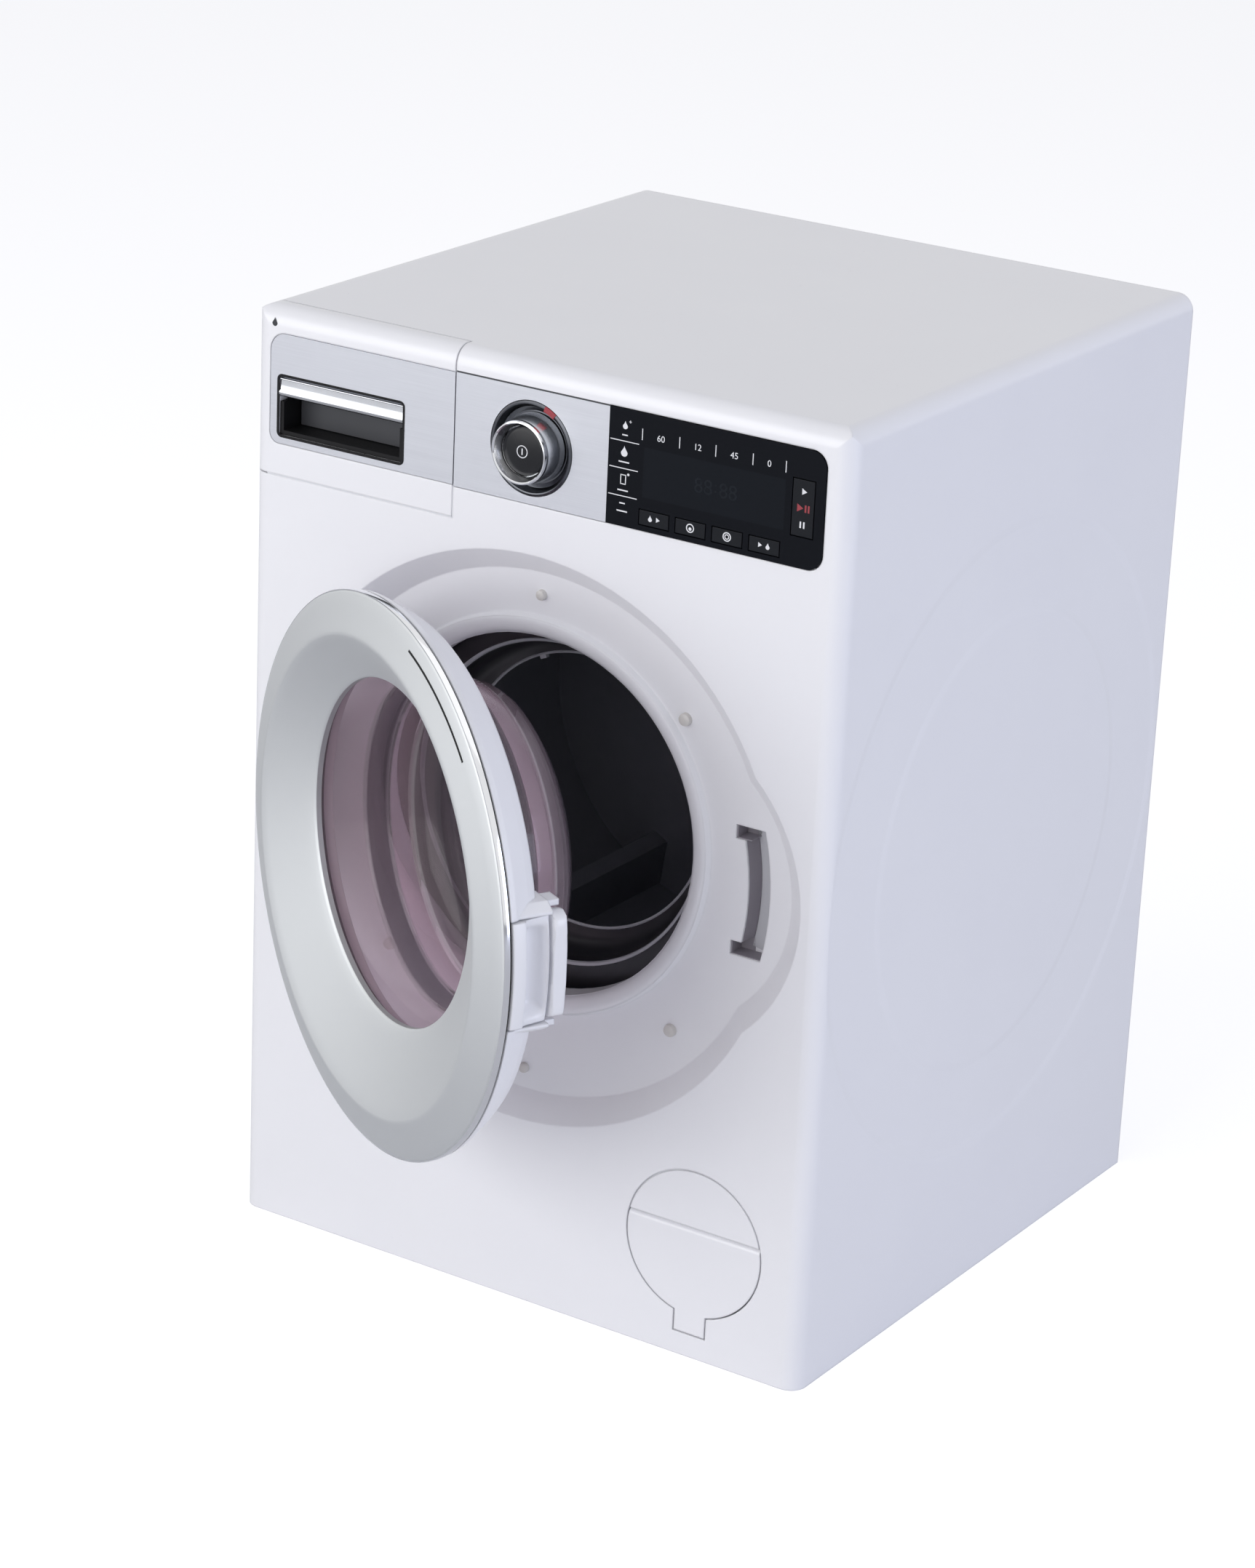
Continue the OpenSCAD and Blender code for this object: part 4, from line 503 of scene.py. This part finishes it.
def displayMarks(look):
    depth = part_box("display_panel")[0][1]
    bm = bmesh.new()
    for z in look["leftLines"]:
        drawBar(bm, (look["leftFrom"] + look["leftTo"]) / 2, z, look["leftTo"] - look["leftFrom"], look["line"])
    for x in look["ticks"]:
        drawBar(bm, x, (look["tickFrom"] + look["tickTo"]) / 2, look["line"], look["tickTo"] - look["tickFrom"])
    for words, x in look["numbers"]:
        drawDigits(bm, words, x, look["numberZ"], look["numberHeight"])
    middle = (look["leftFrom"] + look["leftTo"]) / 2
    # first row: a drop with a spark; second: a larger drop; third: a small open box; fourth: a dash
    drawDrop(bm, middle, 253.9, 0.75)
    drawBar(bm, middle + 1.5, 255.3, 0.7, 0.2)
    drawBar(bm, middle + 1.5, 255.3, 0.2, 0.7)
    drawBar(bm, middle, 251.6, 1.7, 0.35)
    drawDrop(bm, middle, 246.9, 1.0)
    drawBar(bm, middle, 244.5, 3.2, 0.35)
    for side in (-0.75, 0.75):
        drawBar(bm, middle + side, 239.9, 0.25, 2.4)
    for z in (238.7, 241.1):
        drawBar(bm, middle, z, 1.75, 0.25)
    drawDisc(bm, middle + 1.5, 241.4, 0.35)
    drawBar(bm, middle, 237.0, 3.2, 0.35)
    drawBar(bm, middle, 233.6, 1.7, 0.35)
    drawBar(bm, middle, 231.5, 3.2, 0.35)
    printMarks("displayMarks", bm, depth, "whiteInk", "cabinet")
    x0, x1, z0, z1 = look["window"]
    bm = bmesh.new()
    drawBar(bm, (x0 + x1) / 2, (z0 + z1) / 2, x1 - x0, z1 - z0)
    printMarks("displayWindow", bm, depth, "unlitWindow", "cabinet", thick=0.04)
    bm = bmesh.new()
    drawDigits(bm, "88", 50.3, 243, 4)
    drawDigits(bm, "88", 57.7, 243, 4)
    for z in (242.2, 243.8):
        drawDisc(bm, 54.0, z, 0.28, segments=12)
    printMarks("displaySegments", bm, depth, "unlitSegment", "cabinet", thick=0.07)


displayMarks(displayLook)


# Signs on the keys, drawn about each cap's middle: filling, washing, spinning, emptying
def keySign(bm, index, x, z):
    if index == 1:
        drawDrop(bm, x - 1.1, z - 0.25, 0.6)
        drawTriangle(bm, x + 1.1, z, 0.75)
    elif index == 2:
        drawDisc(bm, x, z, 1.2, 0.9)
        drawDisc(bm, x, z - 0.2, 0.45)
    elif index == 3:
        drawDisc(bm, x, z, 1.25, 0.95)
        drawDisc(bm, x, z, 0.7, 0.45)
    else:
        drawTriangle(bm, x - 1.3, z, 0.75)
        drawDrop(bm, x + 1.1, z - 0.25, 0.6)


def keyMarks():
    for index in (1, 2, 3, 4):
        low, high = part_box(f"programme_key_{index}")
        x, z = (low[0] + high[0]) / 2 / mm, (low[2] + high[2]) / 2 / mm
        bm = bmesh.new()
        keySign(bm, index, x, z + 0.1)
        printMarks(f"programmeMark{index}", bm, low[1], "whiteInk", f"programme_{index}")
    low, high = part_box("start_key")
    x, z = (low[0] + high[0]) / 2 / mm, (low[2] + high[2]) / 2 / mm
    bm = bmesh.new()
    drawTriangle(bm, x, z + 4.3, 0.95)
    for side in (-0.5, 0.5):
        drawBar(bm, x + side, z - 4.3, 0.45, 1.7)
    printMarks("startKeyMarks", bm, low[1], "whiteInk", "start")
    bm = bmesh.new()
    drawTriangle(bm, x - 1.1, z, 1.2)
    for side in (0.75, 1.65):
        drawBar(bm, x + side, z, 0.5, 1.9)
    printMarks("startKeyRedMark", bm, low[1], "redInk", "start")


keyMarks()

# Dial: the sign on the power button and the red pointer on the bezel
dialLook = {"cap": [(6.5, -2.9), (6.45, -3.3), (6.2, -3.5), (5.4, -3.62), (4.2, -3.78), (2.6, -3.94),
                    (1.0, -4.02), (0.1, -4.04)],
            "faceDepth": -4.04, "ring": (1.7, 1.45), "bar": (0.34, 1.7), "pointerFrom": 54, "pointerTo": 71,
            "pointer": [(11.0, -0.05), (11.3, -0.36), (12.3, -0.4), (12.65, -0.15), (12.65, 0.1),
                        (11.2, 0.4)]}


def dialMarks(look):
    low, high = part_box("dial_rim")
    x, z = (low[0] + high[0]) / 2, (low[2] + high[2]) / 2
    bm = bmesh.new()
    loftRings(bm, [(r, y, 0) for r, y in look["cap"]], (x, z), 64, False)
    finishPiece("powerButtonCap", bm, "capAcrylic", "power_key")
    bm = bmesh.new()
    drawDisc(bm, x / mm, z / mm, *look["ring"], segments=32)
    drawBar(bm, x / mm, z / mm, *look["bar"])
    printMarks("powerButtonSign", bm, frontY + look["faceDepth"] * mm, "whiteInk", "power_key",
               thick=0.3)
    bm = bmesh.new()
    sweepArc(bm, look["pointer"], (x, z), look["pointerFrom"], look["pointerTo"], 8)
    finishPiece("dialPointer", bm, "redInk", "cabinet")


dialMarks(dialLook)

# Drawer: the grey plate at the back of the grip, and the drop sign above the strip
drawerLook = {
    "plate": (-82.7, -45.2, 231.6, 240.3), "plateDepth": 7.8, "dropAt": (-86.1, 260.5), "drop": 0.85,
    # dark frame round the grip: its outer box, its corner radius and its width
    "frame": (-85.0, -42.9, 229.5, 247.0), "frameRadius": 1.6, "frameWidth": 0.66,
    # outline of the bar as (depth, height below its upper edge)
    "bar": [(3.2, 0), (0.9, 0), (0.25, -0.6), (0.22, -0.8), (0.5, -1.05), (0.42, -2.4), (0.3, -3.7),
            (0.0, -4.1), (-0.1, -4.5), (0.0, -5.0), (0.35, -5.45), (1.0, -5.75), (1.7, -5.7),
            (2.4, -5.2), (3.2, -4.4)],
    # seams that only show as a fine line: below the drawer, and beside it under and over the strip
    "seams": [(-88.0, -26.9, 218.6, 218.93), (-27.03, -26.72, 218.6, 227.3)], "seamDepth": 0.12,
    # painted shadow: a dark line for the shade in the gap along the upper edge of the strip
    "joint": (-26.6, 21.4, 258.15, 258.6),
}


def drawerDetails(look):
    x0, x1, z0, z1 = look["plate"]
    bm = bmesh.new()
    drawBar(bm, (x0 + x1) / 2, (z0 + z1) / 2, x1 - x0, z1 - z0)
    printMarks("gripBackPlate", bm, frontY + look["plateDepth"] * mm, "greyGripAbsAndGapShadow", "drawer",
               thick=1.2)
    bm = bmesh.new()
    drawDrop(bm, *look["dropAt"], look["drop"])
    printMarks("drawerDropSign", bm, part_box("drawer_front")[0][1], "blackInk", "drawer")
    bm = bmesh.new()
    x0, x1, z0, z1 = look["frame"]
    verts = drawBar(bm, (x0 + x1) / 2, (z0 + z1) / 2, x1 - x0, z1 - z0)
    bmesh.ops.bevel(bm, geom=verts, offset=look["frameRadius"], segments=6, affect="VERTICES", profile=0.5)
    faces = bm.faces[:]
    bmesh.ops.inset_individual(bm, faces=faces, thickness=look["frameWidth"], use_even_offset=True)
    bmesh.ops.delete(bm, geom=faces, context="FACES_ONLY")
    printMarks("gripFrame", bm, frontY, "mattBlackAbsAndGrooveShade", "drawer", thick=0.3, proud=0.06)
    low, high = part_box("drawer_bar")
    bm = bmesh.new()
    verts = [bm.verts.new((low[0], frontY + y * mm, high[2] + z * mm)) for y, z in look["bar"]]
    face = bm.faces.new(verts)
    grown = bmesh.ops.extrude_face_region(bm, geom=[face], use_keep_orig=True)["geom"]
    bmesh.ops.translate(bm, verts=[item for item in grown if isinstance(item, bmesh.types.BMVert)],
                        vec=(high[0] - low[0], 0, 0))
    finishPiece("drawerChromeBar", bm, "barChrome", "drawer", ["drawer_bar"])
    bm = bmesh.new()
    for x0, x1, z0, z1 in look["seams"]:
        drawBar(bm, (x0 + x1) / 2, (z0 + z1) / 2, x1 - x0, z1 - z0)
    printMarks("drawerSeams", bm, frontY + look["seamDepth"] * mm, "seamAbs", "cabinet",
               thick=1.0, proud=0)
    # painted shadow in the gap over the strip
    bm = bmesh.new()
    x0, x1, z0, z1 = look["joint"]
    drawBar(bm, (x0 + x1) / 2, (z0 + z1) / 2, x1 - x0, z1 - z0)
    printMarks("stripGapShadow", bm, frontY, "greyGripAbsAndGapShadow", "cabinet", thick=0.3, proud=0.01)


drawerDetails(drawerLook)

# Painted shade in the latch's slot: grey sheets on its curved inner wall, the walls of its hooks, and the bottom
slotLook = {"from": 6.9, "to": 11.6, "wall": (67.65, 68.5), "wallFrom": -11.2, "wallTo": 12.6,
            "bars": [(63.2, 16.95, 0.3, 3.8), (63.2, -15.35, 0.3, 3.8), (65.4, 15.15, 4.4, 0.3),
                     (68.0, -17.2, 9.6, 0.2)],
            "hookBottoms": [(65.4, 16.95, 4.4, 3.8), (65.4, -15.35, 4.4, 3.8)],
            "bottom": (68.6, 74.1), "bottomFrom": -13.2, "bottomTo": 14.4}


def latchSlot(look):
    middle = (door["x"], door["z"])
    depth = frontY + look["from"] * mm
    bm = bmesh.new()
    for x, z, width, height in look["bars"]:
        drawBar(bm, middle[0] / mm + x, middle[1] / mm + z, width, height)
    printMarks("latchSlotWallShade", bm, depth, "slotPaintedShade", "cabinet",
               thick=look["to"] - look["from"], proud=0)
    bm = bmesh.new()
    for x, z, width, height in look["hookBottoms"]:
        drawBar(bm, middle[0] / mm + x, middle[1] / mm + z, width, height)
    printMarks("latchHookShade", bm, frontY + look["to"] * mm, "slotPaintedShade", "cabinet",
               thick=0.2, proud=0)
    bm = bmesh.new()
    (r0, r1), y0, y1 = look["wall"], look["from"], look["to"]
    sweepArc(bm, [(r0, y0), (r0 + 0.08, y0), (r1, y1), (r0, y1)], middle, look["wallFrom"],
             look["wallTo"], 12)
    finishPiece("latchSlotInnerShade", bm, "slotPaintedShade", "cabinet")
    bm = bmesh.new()
    r0, r1 = look["bottom"]
    sweepArc(bm, [(r0, y1), (r1, y1), (r1, y1 + 0.15), (r0, y1 + 0.15)], middle,
             look["bottomFrom"], look["bottomTo"], 12)
    finishPiece("latchSlotBottomShade", bm, "slotBottomPaintedShade", "cabinet")


latchSlot(slotLook)

# Handle of the latch: level sections (open radius, radius at the closed ends, depth) of its outline
handleLook = {
    "outline": [(62.6, 62.6, -6.0), (74.5, 74.5, -6.0), (74.95, 74.95, -5.85), (75.1, 75.1, -5.4),
                (75.1, 75.1, -2.7), (75.0, 75.0, -2.3), (74.6, 74.7, -2.1), (72.6, 74.3, -2.0),
                (70.6, 74.0, -1.8), (69.3, 73.7, -1.1), (68.8, 73.4, 0.0), (68.7, 73.2, 1.3),
                (68.9, 73.0, 2.5), (69.6, 72.8, 3.6), (70.9, 72.7, 4.4), (72.3, 72.6, 4.75),
                (72.5, 72.5, 4.95), (72.3, 72.3, 5.3), (69.3, 69.3, 5.45), (69.1, 69.1, 6.25),
                (72.4, 72.4, 6.45), (73.0, 73.0, 6.7), (73.2, 73.2, 7.2), (73.2, 73.2, 9.5),
                (73.0, 73.0, 10.0), (72.5, 72.5, 10.2), (69.8, 69.8, 10.2), (69.3, 69.3, 9.9),
                (68.2, 68.2, 7.0), (67.9, 67.9, 6.1), (67.0, 67.0, 5.4), (67.0, 67.0, -0.6),
                (66.4, 66.4, -1.4), (62.6, 62.6, -1.4)],
    "half": 14.2, "levels": 29, "endWall": 1.2, "endSlope": 3.6,
    "flangeFrom": 6.4, "flangeX": 72.4, "flangeRound": 3.0,
}


def latchHandle(look):
    bm = bmesh.new()
    loops = []
    for i in range(look["levels"]):
        z = look["half"] * (2 * i / (look["levels"] - 1) - 1)
        rise = (look["half"] - abs(z) - look["endWall"]) / look["endSlope"]
        rise = min(max(rise, 0.0), 1.0)
        opened = rise * rise * (3 - 2 * rise)
        over = max(abs(z) - look["half"] + look["flangeRound"], 0.0)
        corner = look["flangeRound"] - math.sqrt(look["flangeRound"] ** 2 - over ** 2)
        verts = []
        for openR, closedR, depth in look["outline"]:
            x = math.sqrt((closedR + (openR - closedR) * opened) ** 2 - z * z)
            if depth > look["flangeFrom"]:
                x = min(x, look["flangeX"] - corner)
            verts.append(bm.verts.new((door["x"] + x * mm, frontY + depth * mm, door["z"] + z * mm)))
        loops.append([bm.edges.new((a, b)) for a, b in zip(verts, verts[1:] + verts[:1])])
    for before, after in zip(loops, loops[1:]):
        bmesh.ops.bridge_loops(bm, edges=before + after)
    bmesh.ops.holes_fill(bm, edges=loops[0] + loops[-1])
    bmesh.ops.transform(bm, matrix=doorSwing, verts=bm.verts)
    finishPiece("latchHandleLever", bm, "whiteAbs", "latch", ["latch_handle"], 50)


latchHandle(handleLook)

# Rounded white lip over the raised border of the mouth
lipLook = [(50.35, 6.6), (50.6, 5.9), (51.3, 5.2), (52.3, 4.7), (53.4, 4.42), (54.4, 4.35), (55.1, 4.55),
           (55.5, 5.1), (55.8, 6.25), (55.0, 6.6), (52.0, 6.9)]


def mouthLip(rings):
    bm = bmesh.new()
    loftRings(bm, [(r, y, 0) for r, y in rings], (door["x"], door["z"] + door["rise"]), 160, True)
    finishPiece("mouthLip", bm, "whiteAbs", "cabinet")


mouthLip(lipLook)

# Soft buffers on the pegs of the well, as (distance from the door's middle, angle, radius)
bufferLook = {"pegs": [(67.6, 90, 1.3), (67.6, -90, 1.3), (63.6, 43.5, 1.6), (63.6, -43.5, 1.6),
                       (63.6, 136.5, 1.6), (63.6, -136.5, 1.6)],
              "rings": [(1.12, 6.25), (1.1, 5.5), (1.0, 5.05), (0.7, 4.8), (0.35, 4.72), (0.05, 4.7)]}


def pegBuffers(look):
    bm = bmesh.new()
    for distance, angle, radius in look["pegs"]:
        x = door["x"] + distance * mm * math.cos(math.radians(angle))
        z = door["z"] + distance * mm * math.sin(math.radians(angle))
        loftRings(bm, [(radius * r, y, 0) for r, y in look["rings"]], (x, z), 24, False)
    finishPiece("pegBuffers", bm, "bufferRubber", "cabinet")


pegBuffers(bufferLook)
print("latch and lip")


# Crosses in the screw heads of the rear, in a row for each box of heads
def crossMarks(name, spots, depth, size, body, facing):
    bm = bmesh.new()
    for x, z in spots:
        drawBar(bm, x * facing, z, size, size * 0.22, 20)
        drawBar(bm, x * facing, z, size * 0.22, size, 20)
    printMarks(name, bm, depth, "darkSteel", body, facing)


low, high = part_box("rear_screws")
rearX = high[0] / mm - 2.9
crossMarks("rearScrewCrosses", [(x, z) for x in (-rearX, rearX) for z in (16, 132.5, 249)], high[1], 3.4,
           "cabinet", -1)
low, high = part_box("battery_screw")
crossMarks("batteryScrewCross", [((low[0] + high[0]) / 2 / mm, (low[2] + high[2]) / 2 / mm)], high[1], 2.6,
           "cabinet", -1)
print("marks and small pieces")

# Stage: a pale floor that shows white to the camera and keeps the object's shadow
stageLook = {"floor": "#E4E4E6", "floorLift": 0.55, "worldLight": 0.48, "world": "#F3F4FA"}


def makeStage(look):
    world = bpy.data.worlds.new("softWhiteRoom")
    scene.world = world
    world.use_nodes = True
    tree = world.node_tree
    tree.nodes.clear()
    path = addNode(tree, "ShaderNodeLightPath")
    seen = addNode(tree, "ShaderNodeMath", {"operation": "MAXIMUM"}, {
        0: path.outputs["Is Camera Ray"], 1: path.outputs["Is Transmission Ray"]})
    seenOrMirrored = addNode(tree, "ShaderNodeMath", {"operation": "MAXIMUM"}, {
        0: seen.outputs[0], 1: path.outputs["Is Glossy Ray"]})
    light = addNode(tree, "ShaderNodeBackground", inputs={
        "Color": linearColour(look["world"]), "Strength": look["worldLight"]})
    white = addNode(tree, "ShaderNodeBackground", inputs={"Color": (1, 1, 1, 1), "Strength": 1.0})
    mix = addNode(tree, "ShaderNodeMixShader", inputs={
        "Fac": seenOrMirrored.outputs[0], 1: light.outputs[0], 2: white.outputs[0]})
    addNode(tree, "ShaderNodeOutputWorld", inputs={"Surface": mix.outputs[0]})

    bm = bmesh.new()
    bmesh.ops.create_circle(bm, cap_ends=True, segments=64, radius=6.0)
    mesh = bpy.data.meshes.new("paleFloor")
    bm.to_mesh(mesh)
    bm.free()
    floor = bpy.data.objects.new("paleFloor", mesh)
    scene.collection.objects.link(floor)
    paint = bpy.data.materials.new("paleStudioFloor")
    paint.use_nodes = True
    tree = paint.node_tree
    tree.nodes.clear()
    path = addNode(tree, "ShaderNodeLightPath")
    matt = addNode(tree, "ShaderNodeBsdfDiffuse", inputs={"Color": linearColour(look["floor"])})
    seen = addNode(tree, "ShaderNodeMath", {"operation": "MULTIPLY"}, {
        0: path.outputs["Is Camera Ray"], 1: look["floorLift"]})
    lift = addNode(tree, "ShaderNodeEmission", inputs={"Strength": seen.outputs[0]})
    both = addNode(tree, "ShaderNodeAddShader", inputs={0: matt.outputs[0], 1: lift.outputs[0]})
    addNode(tree, "ShaderNodeOutputMaterial", inputs={"Surface": both.outputs[0]})
    mesh.materials.append(paint)


makeStage(stageLook)

# Soft boxes: where each stands, how large it is, its power in watts and its colour, and what it
# lights; the metals mirror a wider and dimmer box than the one that lights the white plastic
lamps = {
    "keyFrontLeft": {"at": (-0.62, -1.68, 0.22), "size": 2.0, "power": 30.5, "colour": "#FFFFFF", "mirrored": False},
    "metalSheen": {"at": (-0.45, -1.85, 0.25), "size": 2.6, "power": 35, "colour": "#FFFFFF",
                   "lights": False},
    "topSoft": {"at": (0.1, 0.1, 1.6), "size": 1.4, "power": 1.8, "colour": "#FFFDFB"},
    "sideFill": {"at": (1.5, -0.1, 0.4), "size": 1.0, "power": 8.5, "colour": "#E2E9FF"},
}
aim = Vector((0, 0, 0.13))
for name, look in lamps.items():
    lamp = bpy.data.lights.new(name, "AREA")
    lamp.size = look["size"]
    lamp.energy = look["power"]
    lamp.color = linearColour(look["colour"])[:3]
    holder = bpy.data.objects.new(name, lamp)
    holder.visible_glossy = look.get("mirrored", True)
    holder.visible_diffuse = look.get("lights", True)
    scene.collection.objects.link(holder)
    holder.location = look["at"]
    holder.rotation_euler = (aim - Vector(look["at"])).to_track_quat("-Z", "Y").to_euler()
print("stage and lamps")

# The photograph's camera, from a fit of the cabinet's corners
shot = {"at": (0.6215, -1.0096, 0.5671), "azimuth": 32.728, "elevation": 20.535, "roll": 2.579,
        "lens": 102.91}


def makeCamera(look):
    azimuth, elevation, roll = (math.radians(look[k]) for k in ("azimuth", "elevation", "roll"))
    back = Vector((math.sin(azimuth) * math.cos(elevation), -math.cos(azimuth) * math.cos(elevation),
                   math.sin(elevation)))
    level = Vector((0, 0, 1)).cross(back).normalized()
    upright = back.cross(level)
    right = math.cos(roll) * level + math.sin(roll) * upright
    up = math.cos(roll) * upright - math.sin(roll) * level
    camera = bpy.data.objects.new("photoCamera", bpy.data.cameras.new("photoCamera"))
    scene.collection.objects.link(camera)
    turn = Matrix((right, up, back)).transposed().to_4x4()
    camera.matrix_world = Matrix.Translation(look["at"]) @ turn
    camera.data.lens = look["lens"]
    camera.data.sensor_width = 36
    camera.data.sensor_fit = "AUTO"
    scene.camera = camera


makeCamera(shot)
scene.view_settings.view_transform = "Standard"
print("camera")
